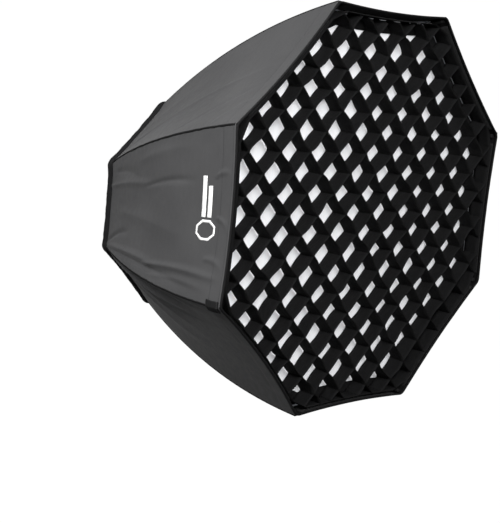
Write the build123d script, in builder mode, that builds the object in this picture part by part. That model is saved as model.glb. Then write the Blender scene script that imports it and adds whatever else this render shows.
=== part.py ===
"""Octabox: an eight-sided fabric light box on sprung rods, with an egg-crate grid.

Millimetres. The origin is the centre of the bayonet bore, in the face that meets the
flash head. +Y points back to the flash head, the open front faces -Y, and +Z is up.
The cloth body leans: its front, and every section parallel to it, tips forward at the top.
"""
import os
from math import cos, radians, sin, tan

from build123d import *

# Cloth body: radii are measured to the corners of the octagon
FRONT_RADIUS = 475.0  # front edge
RIM_RADIUS = 268.0  # rear edge of the side panels
RIM_DISTANCE = 619.0  # from the front plane back to the rear rim
ROD_BOW = 31.0  # how far the rods bow out at mid-length
LEAN = 6.8  # degrees that the front tips forward under its own weight
CLOTH = 1.2  # thickness of the side and back panels
SIDES = 8
HALF_SIDE = 180.0 / SIDES  # degrees from the middle of a side to its corner
SECTIONS = 5  # facets along each side panel

# Back of the cloth body, where it closes in to the speed ring
RIM_Y = -163.0
BACK_RING_RADIUS = 125.0
BACK_RING_Y = -34.0
FRONT_Y = RIM_Y - RIM_DISTANCE
RIM_TUBE_RADIUS = 6.0
RIM_CORNER_RADIUS = 16.0
BACK_START = 0.05  # share of the way from the rim to the cuff where a back panel starts
SEAM_RADIUS = 2.2
SEAM_DEPTH = 1.5  # seam centre below the corner of the cloth
SEAM_GAP = 3.2  # each panel stops this far short of its corner
PANEL_START = 2.0  # side panels and lip start this far behind the front plane

# Speed ring and bayonet insert
BORE_RADIUS = 49.0
COLLAR_RADIUS = 52.5
COLLAR_LENGTH = 12.0
LUG_RADIUS = 56.0
LUG_THICKNESS = 5.0
LUG_NOTCH = (40.0, 60.0)  # radial depth and width of the gaps between lugs
LUGS = 3
FLANGE_RADIUS = 72.0
FLANGE_THICKNESS = 8.0
RUNNING_GAP = 0.08
END_GAP = 0.3
RING_RADIUS = 92.0
RING_BORE_RADIUS = 64.0
RING_THICKNESS = 14.0
RING_EDGE_RADIUS = 1.5
CLIPS = 3
CLIP_SIZE = (23.0, 16.0)
CLIP_CENTRE_RADIUS = 78.0
CLIP_CORNER_RADIUS = 3.0
CLIP_SCREW_RADIUS = 82.0
CLIP_THICKNESS = 2.0
SCREW_RADIUS = 1.5
SCREW_HEAD_RADIUS = 3.0
SCREW_HEAD = 2.0
SCREW_REACH = 7.0  # how far a screw goes into the ring
SCREW_SLOT = (3.6, 0.8)
SCREW_SLOT_DEPTH = 1.1
SOFT_EDGE = 0.8  # rounding of screw heads and knobs

# Lock screws
LOCK_Y = -4.5  # lock screws press on the edge of the insert's flange
LOCK_SHANK_RADIUS = 2.5
LOCK_SHANK_GAP = 1.0
LOCK_SHANK_LENGTH = 30.0
LOCK_NECK_RADIUS = 4.0
LOCK_NECK_GAP = 0.6
LOCK_NECK_LENGTH = 9.0
KNOB_RADIUS = 9.0
KNOB_LENGTH = 13.0
KNOB_FLUTES = 8
KNOB_FLUTE_RADIUS = 3.0
KNOB_FLUTE_CENTRE = 10.5
HOLE_GAP = 0.05  # clearance of screw holes, rods and sleeves

# Rods and their sockets
ROD_RADIUS = 2.2
ROD_INSET = 9.0  # rod centre inside the corner of the cloth
ROD_TIP_DISTANCE = 8.0  # rod tips end this far behind the front plane
SOCKET_RADIUS = 6.5
SOCKET_ANGLE = 49.0  # degrees between a socket and the axis
SOCKET_START = (80.0, -12.0)  # radius and Y where a socket leaves the ring
SOCKET_LENGTH = 42.0
SOCKET_DEPTH_START = 14.0
STRAIGHT_LENGTH = 70.0  # from the start of the socket to the rod's first bend
SOCKET_FLOOR_GAP = 1.0
FERRULE_RADIUS = 3.0
FERRULE_GAP = 0.1
FERRULE_REACH = 2.0  # ferrules stand this far out of their sockets
CAP_END = 1.4  # thickness of the closed end of caps and pockets
CAP_LENGTH = 14.0
POCKET_RADIUS = 4.6
POCKET_BORE_RADIUS = 3.3
POCKET_LENGTH = 34.0

# Lip, diffuser and grid, all measured from the front plane
GRID_APOTHEM = 424.0
GRID_CORNER_CUT = 28.0
GRID_DEPTH = 40.0
GRID_CELL = 62.0
STRIP = 1.0  # thickness of the grid's cloth strips
STRIP_GAP = 0.3
HOOK_TAPE = 1.2
HOOK_TAPE_GAP = 0.3
GRID_TAPE_MARGIN = (6.0, 4.0)  # hook tape stops short of the band's front and rear edges
HOOK_TAPE_END_GAP = 34.0
LIP_TAPE = 1.3
LIP_TAPE_GAP = 0.3
LIP_TAPE_START = 4.0
LIP_TAPE_END_GAP = 18.0
DIFFUSER_DISTANCE = 44.0
DIFFUSER_APOTHEM = 427.0
DIFFUSER_CLOTH = 1.0
DIFFUSER_TAPE_GAP = 0.2
DIFFUSER_TAPE_WIDTH = 22.0
DIFFUSER_BORDER_WIDTH = 32.0
DIFFUSER_BORDER_THICKNESS = 0.8

# Inner diffuser, hung half-way down the box
BAFFLE_RADIUS = 300.0
BAFFLE_DISTANCE = RIM_DISTANCE * 2.5 / SECTIONS
BAFFLE_CLOTH = 0.8
BAFFLE_HEM = 2.0
BAFFLE_HEM_WIDTH = 12.8
BAFFLE_HEM_GAP = 0.2
TIE_SIZE = (12.0, 1.4)
TIE_GAP = 0.5
TIE_END_GAP = 5.5
TIE_LOOP_RADIUS = 4.2
TIE_LOOP_GAP = 0.3
TIE_LOOP_LENGTH = 10.0

# Front hem, cuff and pull tab
HEM_THICKNESS = 4.5
HEM_LENGTH = 5.7
HEM_FORWARD = 4.0  # the hem stands this far ahead of the front plane
HEM_END_GAP = 2.4
CUFF_PROFILE = ((97.0, -11.5), (114.0, -30.0), (114.0, -31.6), (112.8, -31.6), (95.8, -12.6))
PULL_TAB = (13.0, 2.0, 14.0)  # reach, thickness and width
PULL_TAB_DISTANCE = 4.0

# Hook-and-loop flaps in the top and bottom back panels
VENTED_SIDES = (1, 5)
VENT = (78.0, 60.0)
VENT_CORNER_RADIUS = 8.0
FLAP = (106.0, 90.0)
FLAP_CORNER_RADIUS = 6.0
FLAP_THICKNESS = 1.5
FLAP_GAP = 0.6
FLAP_TAPE = (94.0, 18.0, 1.0)
FLAP_TAPE_EDGE = 33.0  # hook tape's distance from the middle of the flap

# Plain printed mark, measured along the side panel from its middle
MARK_DISTANCE = 87.0
MARK_OCTAGON = 30.0
MARK_OCTAGON_OUTER = (36.0, 21.0)  # half its length along the panel, and half its width
MARK_OCTAGON_INNER = (29.5, 15.5)
MARK_BARS = ((12.0, -38.0, 84.0), (-10.0, -28.0, 64.0))  # place along and across the panel, and length
MARK_BAR_WIDTH = 15.0
MARK_THICKNESS = 0.4
MARK_GAP = 0.1

os.makedirs("parts", exist_ok=True)


def save(builder, name):
    """Label one finished piece and write its STEP file."""
    builder.part.label = name
    export_step(builder.part, f"parts/{name}.step")


# ---------------------------------------------------------------- shared geometry


def section_plane(y, lean):
    """Plane across the body at y, facing forward, with its top tipped forward by lean."""
    tip = radians(lean)
    return Plane(origin=(0, y, 0), x_dir=(1, 0, 0), z_dir=(0, -cos(tip), -sin(tip)))


def front_plane(distance):
    """Section plane at a distance behind the front."""
    return section_plane(FRONT_Y + distance, LEAN)


def grid_plane(depth):
    """Plane across the grid at a depth behind its front; the grid's mid-depth is centred on the axis."""
    return front_plane(GRID_DEPTH / 2).offset(GRID_DEPTH / 2 - depth)


def cloth_radius(distance):
    """Corner radius of the side panels at a distance behind the front."""
    way = distance / RIM_DISTANCE
    return FRONT_RADIUS + (RIM_RADIUS - FRONT_RADIUS) * way + 4 * ROD_BOW * way * (1 - way)


def section_distances(front_gap, rim_gap):
    """Distances of the sections behind the front, with the ends held off the hem and the rim."""
    steps = [RIM_DISTANCE * section / SECTIONS for section in range(SECTIONS + 1)]
    return [front_gap] + steps[1:-1] + [RIM_DISTANCE - rim_gap]


def corner_angle(number):
    """Angle of corner 1 to 8, counted clockwise from the upper left as seen from the front."""
    return 90.0 + HALF_SIDE - (number - 1) * 2 * HALF_SIDE


def side_angle(number):
    """Angle of the middle of side 1 to 8: side 1 is the top one."""
    return 90.0 - (number - 1) * 2 * HALF_SIDE


def back_section(way):
    """Plane and corner radius of the back, from 0 at the rim to 1 at the cuff."""
    plane = section_plane(RIM_Y + (BACK_RING_Y - RIM_Y) * way, LEAN * (1 - way))
    return plane, RIM_RADIUS + (BACK_RING_RADIUS - RIM_RADIUS) * way


def on_plane(plane, radius, angle):
    """Point at a radius and angle on a section plane."""
    return plane.from_local_coords(Vector(radius * cos(radians(angle)), radius * sin(radians(angle)), 0))


def turned(plane, angle):
    """The same plane with its X turned to an angle."""
    return Plane(origin=plane.origin, x_dir=on_plane(plane, 1, angle) - plane.origin, z_dir=plane.z_dir)


def side_section(plane, number, radius, depth, thickness, end_gap):
    """One side's thin cross-section: depth below the outer line, short of both corners."""
    middle = radius * cos(radians(HALF_SIDE)) - depth - thickness / 2
    width = 2 * (radius * sin(radians(HALF_SIDE)) - end_gap)
    with BuildSketch(turned(plane, side_angle(number))) as section:
        with Locations((middle, 0)):
            Rectangle(thickness, width)
    return section.sketch.face()


def bowed_line(points):
    """Straight runs joined by arcs as large as the runs allow."""
    bends = []
    for before, point, after in zip(points, points[1:], points[2:]):
        half_turn = radians((point - before).get_angle(after - point) / 2)
        shorter = min((point - before).length, (after - point).length)
        bends.append(0.45 * shorter / tan(half_turn))
    return FilletPolyline(*points, radius=bends)


def socket_line(number):
    """Start point and direction of a rod socket."""
    angle, tip = radians(corner_angle(number)), radians(SOCKET_ANGLE)
    radius, y = SOCKET_START
    start = Vector(radius * cos(angle), y, radius * sin(angle))
    return start, Vector(sin(tip) * cos(angle), -cos(tip), sin(tip) * sin(angle))


def rod_points(number):
    """Centre line of a rod, from the bottom of its socket to its tip in the front corner."""
    start, along = socket_line(number)
    points = [start + along * SOCKET_DEPTH_START, start + along * STRAIGHT_LENGTH]
    for section in range(SECTIONS, 0, -1):
        distance = RIM_DISTANCE * section / SECTIONS
        radius = cloth_radius(distance) - ROD_INSET
        points.append(on_plane(front_plane(distance), radius, corner_angle(number)))
    tip_radius = cloth_radius(ROD_TIP_DISTANCE) - ROD_INSET
    points.append(on_plane(front_plane(ROD_TIP_DISTANCE), tip_radius, corner_angle(number)))
    return points


def rod_end_plane(number):
    """Plane at a rod's tip, facing back along the rod."""
    tip, before = rod_points(number)[-1], rod_points(number)[-2]
    return Plane(origin=tip, z_dir=before - tip)


def tube_piece(plane, outer, inner, start, end):
    """Straight round tube along a plane's normal, added to the part being built."""
    with BuildSketch(plane.offset(start)) as ring:
        Circle(outer)
        Circle(inner, mode=Mode.SUBTRACT)
    extrude(ring.sketch.face(), amount=end - start)


# ---------------------------------------------------------------- speed ring


def build_mount_insert():
    """Bayonet insert: a flange that turns in the speed ring, and a collar with three lugs."""
    with BuildPart() as mount_insert:
        with BuildSketch(Plane.XZ):
            Circle(FLANGE_RADIUS)
        extrude(amount=FLANGE_THICKNESS)
        with BuildSketch(Plane.XZ):
            Circle(COLLAR_RADIUS)
        extrude(amount=-COLLAR_LENGTH)
        with BuildSketch(Plane.XZ.offset(-COLLAR_LENGTH)):
            Circle(LUG_RADIUS)
            with PolarLocations(LUG_RADIUS, LUGS):
                Rectangle(*LUG_NOTCH, mode=Mode.SUBTRACT)
        extrude(amount=LUG_THICKNESS)
        with BuildSketch(Plane.XZ.offset(-COLLAR_LENGTH)):
            Circle(BORE_RADIUS)
        extrude(amount=COLLAR_LENGTH + FLANGE_THICKNESS, mode=Mode.SUBTRACT)
    save(mount_insert, "mount_insert")


def build_ring_plate():
    """Speed ring: seat for the insert, eight rod sockets, and holes for clips and lock screws."""
    with BuildPart() as ring_plate:
        with BuildSketch(Plane.XZ):
            Circle(RING_RADIUS)
        extrude(amount=RING_THICKNESS)
        fillet(ring_plate.edges().filter_by(GeomType.CIRCLE), radius=RING_EDGE_RADIUS)
        for number in range(1, SIDES + 1):
            start, along = socket_line(number)
            with BuildSketch(Plane(origin=start, z_dir=along)):
                Circle(SOCKET_RADIUS)
            extrude(amount=SOCKET_LENGTH)
        for number in range(1, SIDES + 1):
            start, along = socket_line(number)
            bottom = start + along * (SOCKET_DEPTH_START - SOCKET_FLOOR_GAP)
            with BuildSketch(Plane(origin=bottom, z_dir=along)):
                Circle(FERRULE_RADIUS + FERRULE_GAP)
            extrude(amount=SOCKET_LENGTH, mode=Mode.SUBTRACT)
        with BuildSketch(Plane.XZ):
            Circle(RING_BORE_RADIUS)
        extrude(amount=2 * RING_THICKNESS, mode=Mode.SUBTRACT)
        with BuildSketch(Plane.XZ):
            Circle(FLANGE_RADIUS + RUNNING_GAP)
        extrude(amount=FLANGE_THICKNESS + END_GAP, mode=Mode.SUBTRACT)
        with BuildSketch(Plane.XZ):
            with PolarLocations(CLIP_SCREW_RADIUS, CLIPS, start_angle=90):
                Circle(SCREW_RADIUS + HOLE_GAP)
        extrude(amount=SCREW_REACH + CLIP_THICKNESS, mode=Mode.SUBTRACT)
        for side in (-1, 1):
            with BuildSketch(Plane(origin=(0, LOCK_Y, 0), z_dir=(side, 0, 0))):
                Circle(LOCK_SHANK_RADIUS + HOLE_GAP)
            extrude(amount=2 * RING_RADIUS, mode=Mode.SUBTRACT)
    save(ring_plate, "ring_plate")


def build_insert_clips():
    """Three flat clips that reach over the insert's flange and keep it in its seat."""
    with BuildPart() as insert_clips:
        with BuildSketch(Plane.XZ):
            with PolarLocations(CLIP_CENTRE_RADIUS, CLIPS, start_angle=90):
                Rectangle(*CLIP_SIZE)
        extrude(amount=-CLIP_THICKNESS)
        fillet(insert_clips.edges().filter_by(Axis.Y), radius=CLIP_CORNER_RADIUS)
        with BuildSketch(Plane.XZ):
            Circle(FLANGE_RADIUS + 2 * END_GAP)
        extrude(amount=-END_GAP, mode=Mode.SUBTRACT)
        with BuildSketch(Plane.XZ):
            with PolarLocations(CLIP_SCREW_RADIUS, CLIPS, start_angle=90):
                Circle(SCREW_RADIUS + 2 * HOLE_GAP)
        extrude(amount=-CLIP_THICKNESS, mode=Mode.SUBTRACT)
    save(insert_clips, "insert_clips")


def build_clip_screws():
    """Pan-head screws through the clips."""
    with BuildPart() as clip_screws:
        with BuildSketch(Plane.XZ.offset(-CLIP_THICKNESS)):
            with PolarLocations(CLIP_SCREW_RADIUS, CLIPS, start_angle=90):
                Circle(SCREW_HEAD_RADIUS)
        extrude(amount=-SCREW_HEAD)
        fillet(clip_screws.faces().sort_by(Axis.Y)[-CLIPS:].edges(), radius=SOFT_EDGE)
        with BuildSketch(Plane.XZ.offset(-CLIP_THICKNESS)):
            with PolarLocations(CLIP_SCREW_RADIUS, CLIPS, start_angle=90):
                Circle(SCREW_RADIUS)
        extrude(amount=CLIP_THICKNESS + SCREW_REACH)
        with BuildSketch(Plane.XZ.offset(-CLIP_THICKNESS - SCREW_HEAD)):
            with PolarLocations(CLIP_SCREW_RADIUS, CLIPS, start_angle=90):
                Rectangle(*SCREW_SLOT)
                Rectangle(*SCREW_SLOT[::-1])
        extrude(amount=SCREW_SLOT_DEPTH, mode=Mode.SUBTRACT)
    save(clip_screws, "clip_screws")


def build_lock_screw(side, name):
    """Thumbscrew: a fluted knob outside the ring and a shank that reaches the insert's flange."""
    axis_plane = Plane(origin=(0, LOCK_Y, 0), z_dir=(side, 0, 0))
    with BuildPart() as lock_screw:
        with BuildSketch(axis_plane.offset(FLANGE_RADIUS + LOCK_SHANK_GAP)):
            Circle(LOCK_SHANK_RADIUS)
        extrude(amount=LOCK_SHANK_LENGTH)
        with BuildSketch(axis_plane.offset(RING_RADIUS + LOCK_NECK_GAP)):
            Circle(LOCK_NECK_RADIUS)
        extrude(amount=LOCK_NECK_LENGTH)
        with BuildSketch(axis_plane.offset(RING_RADIUS + LOCK_NECK_LENGTH)):
            Circle(KNOB_RADIUS)
            with PolarLocations(KNOB_FLUTE_CENTRE, KNOB_FLUTES):
                Circle(KNOB_FLUTE_RADIUS, mode=Mode.SUBTRACT)
        extrude(amount=KNOB_LENGTH)
        fillet(lock_screw.faces().sort_by(Axis.X)[-1 if side > 0 else 0].edges(), radius=SOFT_EDGE)
    save(lock_screw, name)


# ---------------------------------------------------------------- rods


def build_rod(number):
    """Sprung steel rod, straight in its socket and bowed along its seam."""
    with BuildPart() as rod:
        with BuildLine() as centre_line:
            bowed_line(rod_points(number))
        with BuildSketch(Plane(origin=centre_line.line @ 0, z_dir=centre_line.line % 0)):
            Circle(ROD_RADIUS)
        sweep()
    save(rod, f"rod_{number}")


def build_rod_ferrules():
    """Metal sleeves crimped on the rods where they sit in the sockets."""
    with BuildPart() as rod_ferrules:
        for number in range(1, SIDES + 1):
            start, along = socket_line(number)
            plane = Plane(origin=start, z_dir=along)
            end = SOCKET_LENGTH + FERRULE_REACH
            tube_piece(plane, FERRULE_RADIUS, ROD_RADIUS + HOLE_GAP, SOCKET_DEPTH_START, end)
    save(rod_ferrules, "rod_ferrules")


def build_rod_tip_caps():
    """Rounded caps on the front tips of the rods."""
    with BuildPart() as rod_tip_caps:
        for number in range(1, SIDES + 1):
            plane = rod_end_plane(number)
            with BuildSketch(plane.offset(-CAP_END - FERRULE_GAP)):
                Circle(FERRULE_RADIUS)
            extrude(amount=CAP_END)
            tube_piece(plane, FERRULE_RADIUS, ROD_RADIUS + HOLE_GAP, -2 * FERRULE_GAP, CAP_LENGTH)
    save(rod_tip_caps, "rod_tip_caps")


def build_corner_pockets():
    """Closed fabric pockets in the front corners that the rod tips push into."""
    with BuildPart() as corner_pockets:
        for number in range(1, SIDES + 1):
            plane = rod_end_plane(number)
            end = -2 * CAP_END - 4 * FERRULE_GAP
            with BuildSketch(plane.offset(end)):
                Circle(POCKET_RADIUS)
            extrude(amount=CAP_END)
            tube_piece(plane, POCKET_RADIUS, POCKET_BORE_RADIUS, end + CAP_END - FERRULE_GAP, POCKET_LENGTH)
    save(corner_pockets, "corner_pockets")


# ---------------------------------------------------------------- cloth body


def build_side_panel(number):
    """One tapered side panel, from the front hem back to the rim, curved along its length."""
    sections = []
    for distance in section_distances(PANEL_START, RIM_TUBE_RADIUS + PANEL_START):
        radius = cloth_radius(distance)
        sections.append(side_section(front_plane(distance), number, radius, 0, CLOTH, SEAM_GAP))
    with BuildPart() as side_panel:
        loft(sections, ruled=True)
    save(side_panel, f"side_panel_{number}")


def vent_plane(number):
    """Plane on the outside of the top or bottom back panel, at the middle of its opening."""
    rim = on_plane(back_section(0)[0], RIM_RADIUS * cos(radians(HALF_SIDE)), side_angle(number))
    ring = on_plane(back_section(1)[0], BACK_RING_RADIUS * cos(radians(HALF_SIDE)), side_angle(number))
    outward = Vector(1, 0, 0).cross(ring - rim)
    if outward.Y < 0:
        outward = outward * -1
    return Plane(origin=(rim + ring) * 0.5, x_dir=(1, 0, 0), z_dir=outward)


def build_back_panel(number):
    """One panel of the back, from the rim in to the cuff. The top and bottom ones have openings."""
    sections = []
    for way in (BACK_START, 1.0):
        plane, radius = back_section(way)
        sections.append(side_section(plane, number, radius, 0, CLOTH, SEAM_GAP))
    with BuildPart() as back_panel:
        loft(sections, ruled=True)
        if number in VENTED_SIDES:
            with BuildSketch(vent_plane(number)):
                RectangleRounded(*VENT, radius=VENT_CORNER_RADIUS)
            extrude(amount=10 * CLOTH, both=True, mode=Mode.SUBTRACT)
    save(back_panel, f"back_panel_{number}")


def build_seam_bindings():
    """Bound seams between the side panels."""
    with BuildPart() as seam_bindings:
        for number in range(1, SIDES + 1):
            points = []
            for distance in section_distances(PANEL_START + 1, RIM_TUBE_RADIUS + PANEL_START + 1):
                radius = cloth_radius(distance) - SEAM_DEPTH
                points.append(on_plane(front_plane(distance), radius, corner_angle(number)))
            with BuildLine() as seam:
                bowed_line(points)
            with BuildSketch(Plane(origin=seam.line @ 0, z_dir=seam.line % 0)):
                Circle(SEAM_RADIUS)
            sweep(path=seam.line)
    save(seam_bindings, "seam_bindings")


def build_back_seams():
    """Bound seams between the back panels."""
    with BuildPart() as back_seams:
        for number in range(1, SIDES + 1):
            ends = []
            for way in (BACK_START + 0.02, 0.98):
                plane, radius = back_section(way)
                ends.append(on_plane(plane, radius - SEAM_DEPTH, corner_angle(number)))
            with BuildSketch(Plane(origin=ends[0], z_dir=ends[1] - ends[0])):
                Circle(SEAM_RADIUS)
            extrude(amount=(ends[1] - ends[0]).length)
    save(back_seams, "back_seams")


def build_rim_binding():
    """Rolled black hem where the side panels meet the back."""
    corners = []
    for number in range(1, SIDES + 1):
        corners.append(on_plane(front_plane(RIM_DISTANCE), RIM_RADIUS + 1, corner_angle(number)))
    with BuildPart() as rim_binding:
        with BuildLine() as rim:
            FilletPolyline(*corners, radius=RIM_CORNER_RADIUS, close=True)
        with BuildSketch(Plane(origin=rim.line @ 0, z_dir=rim.line % 0)):
            Circle(RIM_TUBE_RADIUS)
        sweep()
    save(rim_binding, "rim_binding")


def build_front_hem():
    """Folded hem round the front edge, one length to each side."""
    with BuildPart() as front_hem:
        for number in range(1, SIDES + 1):
            plane = front_plane(-HEM_FORWARD)
            section = side_section(plane, number, FRONT_RADIUS, 0, HEM_THICKNESS, HEM_END_GAP)
            extrude(section, amount=-HEM_LENGTH)
    save(front_hem, "front_hem")


def build_lip_loop_tape():
    """Loop tape inside the lip, which the grid grips. It lies on the first facet of each panel."""
    first, last = section_distances(PANEL_START, 0.0)[:2]
    taper = (cloth_radius(first) - cloth_radius(last)) / (last - first)
    with BuildPart() as lip_loop_tape:
        for number in range(1, SIDES + 1):
            sections = []
            for distance in (LIP_TAPE_START, GRID_DEPTH):
                radius = cloth_radius(first) - taper * (distance - first)
                plane, depth = front_plane(distance), CLOTH + LIP_TAPE_GAP
                sections.append(side_section(plane, number, radius, depth, LIP_TAPE, LIP_TAPE_END_GAP))
            loft(sections, ruled=True)
    save(lip_loop_tape, "lip_loop_tape")


def build_rear_cuff():
    """Elastic cuff that closes the gap between the back panels and the speed ring."""
    with BuildPart() as rear_cuff:
        with BuildSketch(Plane.XY):
            with BuildLine():
                Polyline(*CUFF_PROFILE, close=True)
            make_face()
        revolve(axis=Axis.Y)
    save(rear_cuff, "rear_cuff")


def build_pull_tab():
    """Webbing loop at the right-hand upper corner, for pulling the pocket over the rod's tip."""
    reach, thickness, width = PULL_TAB
    with BuildPart() as pull_tab:
        with BuildSketch(turned(front_plane(PULL_TAB_DISTANCE), corner_angle(3))):
            with Locations((FRONT_RADIUS + 0.5 + reach / 2, 0)):
                Rectangle(reach, thickness)
        extrude(amount=-width)
    save(pull_tab, "pull_tab")


def flap_plane(number):
    """Underside of a flap."""
    return vent_plane(number).offset(FLAP_GAP)


def build_flap(number, name):
    """Flap over an opening in the back, hinged along its edge next to the rim."""
    with BuildPart() as flap:
        with BuildSketch(flap_plane(number)):
            RectangleRounded(*FLAP, radius=FLAP_CORNER_RADIUS)
        extrude(amount=FLAP_THICKNESS)
    save(flap, name)


def build_flap_tape(number, name):
    """Hook tape on the outside edge of a flap."""
    inward = flap_plane(number).to_local_coords(Vector(0, BACK_RING_Y, 0)).Y
    edge = FLAP_TAPE_EDGE if inward > 0 else -FLAP_TAPE_EDGE
    length, width, thickness = FLAP_TAPE
    with BuildPart() as flap_tape:
        with BuildSketch(flap_plane(number).offset(FLAP_THICKNESS)):
            with Locations((0, edge)):
                Rectangle(length, width)
        extrude(amount=thickness)
    save(flap_tape, name)


def long_octagon(half_length, half_width):
    """Face of an octagon drawn out along the panel."""
    points = []
    for number in range(SIDES):
        angle = radians(HALF_SIDE * (2 * number + 1))
        reach = cos(radians(HALF_SIDE))
        points.append((half_length * cos(angle) / reach, half_width * sin(angle) / reach))
    with BuildSketch(mode=Mode.PRIVATE) as octagon:
        Polygon(*points, align=None)
    return octagon.face()


def build_printed_mark():
    """Plain mark on the left side panel: an octagon outline and two bars."""
    number = 7
    near, far = PANEL_START, RIM_DISTANCE / SECTIONS
    inner_angle = cos(radians(HALF_SIDE))
    low = on_plane(front_plane(near), cloth_radius(near) * inner_angle, side_angle(number))
    high = on_plane(front_plane(far), cloth_radius(far) * inner_angle, side_angle(number))
    along = high - low
    across = front_plane(0).y_dir
    outward = across.cross(along)
    middle = low + along * (MARK_DISTANCE / along.length)
    with BuildPart() as printed_mark:
        with BuildSketch(Plane(origin=middle, x_dir=along, z_dir=outward).offset(MARK_GAP)):
            with Locations((0, MARK_OCTAGON)):
                add(long_octagon(*MARK_OCTAGON_OUTER))
                add(long_octagon(*MARK_OCTAGON_INNER), mode=Mode.SUBTRACT)
            for back, across_panel, length in MARK_BARS:
                with Locations((back, across_panel)):
                    Rectangle(MARK_BAR_WIDTH, length)
        extrude(amount=MARK_THICKNESS)
    save(printed_mark, "printed_mark")


# ---------------------------------------------------------------- diffusers and grid


def cut_octagon(apothem):
    """Octagon with its corners cut off, to pass inside the corner pockets."""
    with BuildSketch(mode=Mode.PRIVATE) as face:
        RegularPolygon(apothem / cos(radians(HALF_SIDE)), SIDES, rotation=HALF_SIDE)
        chamfer(face.vertices(), length=GRID_CORNER_CUT)
    return face.sketch


def build_front_diffuser():
    """White cloth stretched across the front, behind the grid."""
    with BuildPart() as front_diffuser:
        with BuildSketch(front_plane(DIFFUSER_DISTANCE)):
            add(cut_octagon(DIFFUSER_APOTHEM))
        extrude(amount=-DIFFUSER_CLOTH)
    save(front_diffuser, "front_diffuser")


def build_diffuser_edge_tape():
    """Hook tape sewn round the back of the diffuser's edge."""
    with BuildPart() as diffuser_edge_tape:
        with BuildSketch(front_plane(DIFFUSER_DISTANCE + DIFFUSER_CLOTH + DIFFUSER_TAPE_GAP)):
            add(cut_octagon(DIFFUSER_APOTHEM))
            add(cut_octagon(DIFFUSER_APOTHEM - DIFFUSER_TAPE_WIDTH), mode=Mode.SUBTRACT)
        extrude(amount=-LIP_TAPE)
    save(diffuser_edge_tape, "diffuser_edge_tape")


def build_diffuser_border():
    """Black border sewn over the front of the diffuser's edge."""
    with BuildPart() as diffuser_border:
        with BuildSketch(front_plane(DIFFUSER_DISTANCE - DIFFUSER_TAPE_GAP)):
            add(cut_octagon(DIFFUSER_APOTHEM))
            add(cut_octagon(DIFFUSER_APOTHEM - DIFFUSER_BORDER_WIDTH), mode=Mode.SUBTRACT)
        extrude(amount=DIFFUSER_BORDER_THICKNESS)
    save(diffuser_border, "diffuser_border")


def strips(turn, thickness):
    """Parallel grid strips through the centre of the front, clipped to the band around them."""
    count = 2 * int(GRID_APOTHEM / GRID_CELL) + 1
    with BuildSketch(mode=Mode.PRIVATE) as family:
        with Locations(Rotation(0, 0, turn)):
            with GridLocations(0, GRID_CELL, 1, count):
                Rectangle(3 * GRID_APOTHEM, thickness)
        add(cut_octagon(GRID_APOTHEM - STRIP - STRIP_GAP), mode=Mode.INTERSECT)
    return family.sketch


def build_grid_strips(turn, slots_at_front, name):
    """One family of strips, slotted to half its depth where the other family crosses."""
    half = GRID_DEPTH / 2
    slotted, whole = (0.0, half) if slots_at_front else (half, 0.0)
    with BuildPart() as grid_strips:
        with BuildSketch(grid_plane(whole)):
            add(strips(turn, STRIP))
        extrude(amount=-half)
        with BuildSketch(grid_plane(slotted)):
            add(strips(turn, STRIP))
            add(strips(-turn, STRIP + 2 * STRIP_GAP), mode=Mode.SUBTRACT)
        extrude(amount=-half)
    save(grid_strips, name)


def build_grid_band():
    """Band round the grid's strips."""
    with BuildPart() as grid_band:
        with BuildSketch(grid_plane(0)):
            add(cut_octagon(GRID_APOTHEM))
            add(cut_octagon(GRID_APOTHEM - STRIP), mode=Mode.SUBTRACT)
        extrude(amount=-GRID_DEPTH)
    save(grid_band, "grid_band")


def build_grid_hook_tape():
    """Hook tape on the outside of the grid's band, one length to each side."""
    radius = (GRID_APOTHEM + HOOK_TAPE_GAP + HOOK_TAPE) / cos(radians(HALF_SIDE))
    front, rear = GRID_TAPE_MARGIN
    with BuildPart() as grid_hook_tape:
        for number in range(1, SIDES + 1):
            section = side_section(grid_plane(front), number, radius, 0, HOOK_TAPE, HOOK_TAPE_END_GAP)
            extrude(section, amount=front + rear - GRID_DEPTH)
    save(grid_hook_tape, "grid_hook_tape")


def build_baffle_cloth():
    """Inner diffuser, hung half-way down the box."""
    with BuildPart() as baffle_cloth:
        with BuildSketch(front_plane(BAFFLE_DISTANCE)):
            RegularPolygon(BAFFLE_RADIUS - BAFFLE_HEM_WIDTH - BAFFLE_HEM_GAP, SIDES, rotation=HALF_SIDE)
        extrude(amount=-BAFFLE_CLOTH)
    save(baffle_cloth, "baffle_cloth")


def build_baffle_hem():
    """Doubled hem round the inner diffuser."""
    with BuildPart() as baffle_hem:
        with BuildSketch(front_plane(BAFFLE_DISTANCE - (BAFFLE_HEM - BAFFLE_CLOTH) / 2)):
            RegularPolygon(BAFFLE_RADIUS, SIDES, rotation=HALF_SIDE)
            RegularPolygon(BAFFLE_RADIUS - BAFFLE_HEM_WIDTH, SIDES, rotation=HALF_SIDE, mode=Mode.SUBTRACT)
        extrude(amount=-BAFFLE_HEM)
    save(baffle_hem, "baffle_hem")


def tie_plane(number):
    """Plane across a rod where a tie holds it, facing along the rod."""
    corner = corner_angle(number)
    rear, ahead = RIM_DISTANCE * 3 / SECTIONS, RIM_DISTANCE * 2 / SECTIONS
    before = on_plane(front_plane(rear), cloth_radius(rear) - ROD_INSET, corner)
    after = on_plane(front_plane(ahead), cloth_radius(ahead) - ROD_INSET, corner)
    return Plane(origin=(before + after) * 0.5, z_dir=after - before)


def build_tie_loops():
    """Loops on the rods that the inner diffuser's ties hook on to."""
    with BuildPart() as tie_loops:
        for number in range(1, SIDES + 1):
            half = TIE_LOOP_LENGTH / 2
            tube_piece(tie_plane(number), TIE_LOOP_RADIUS, ROD_RADIUS + TIE_LOOP_GAP, -half, half)
    save(tie_loops, "tie_loops")


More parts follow.
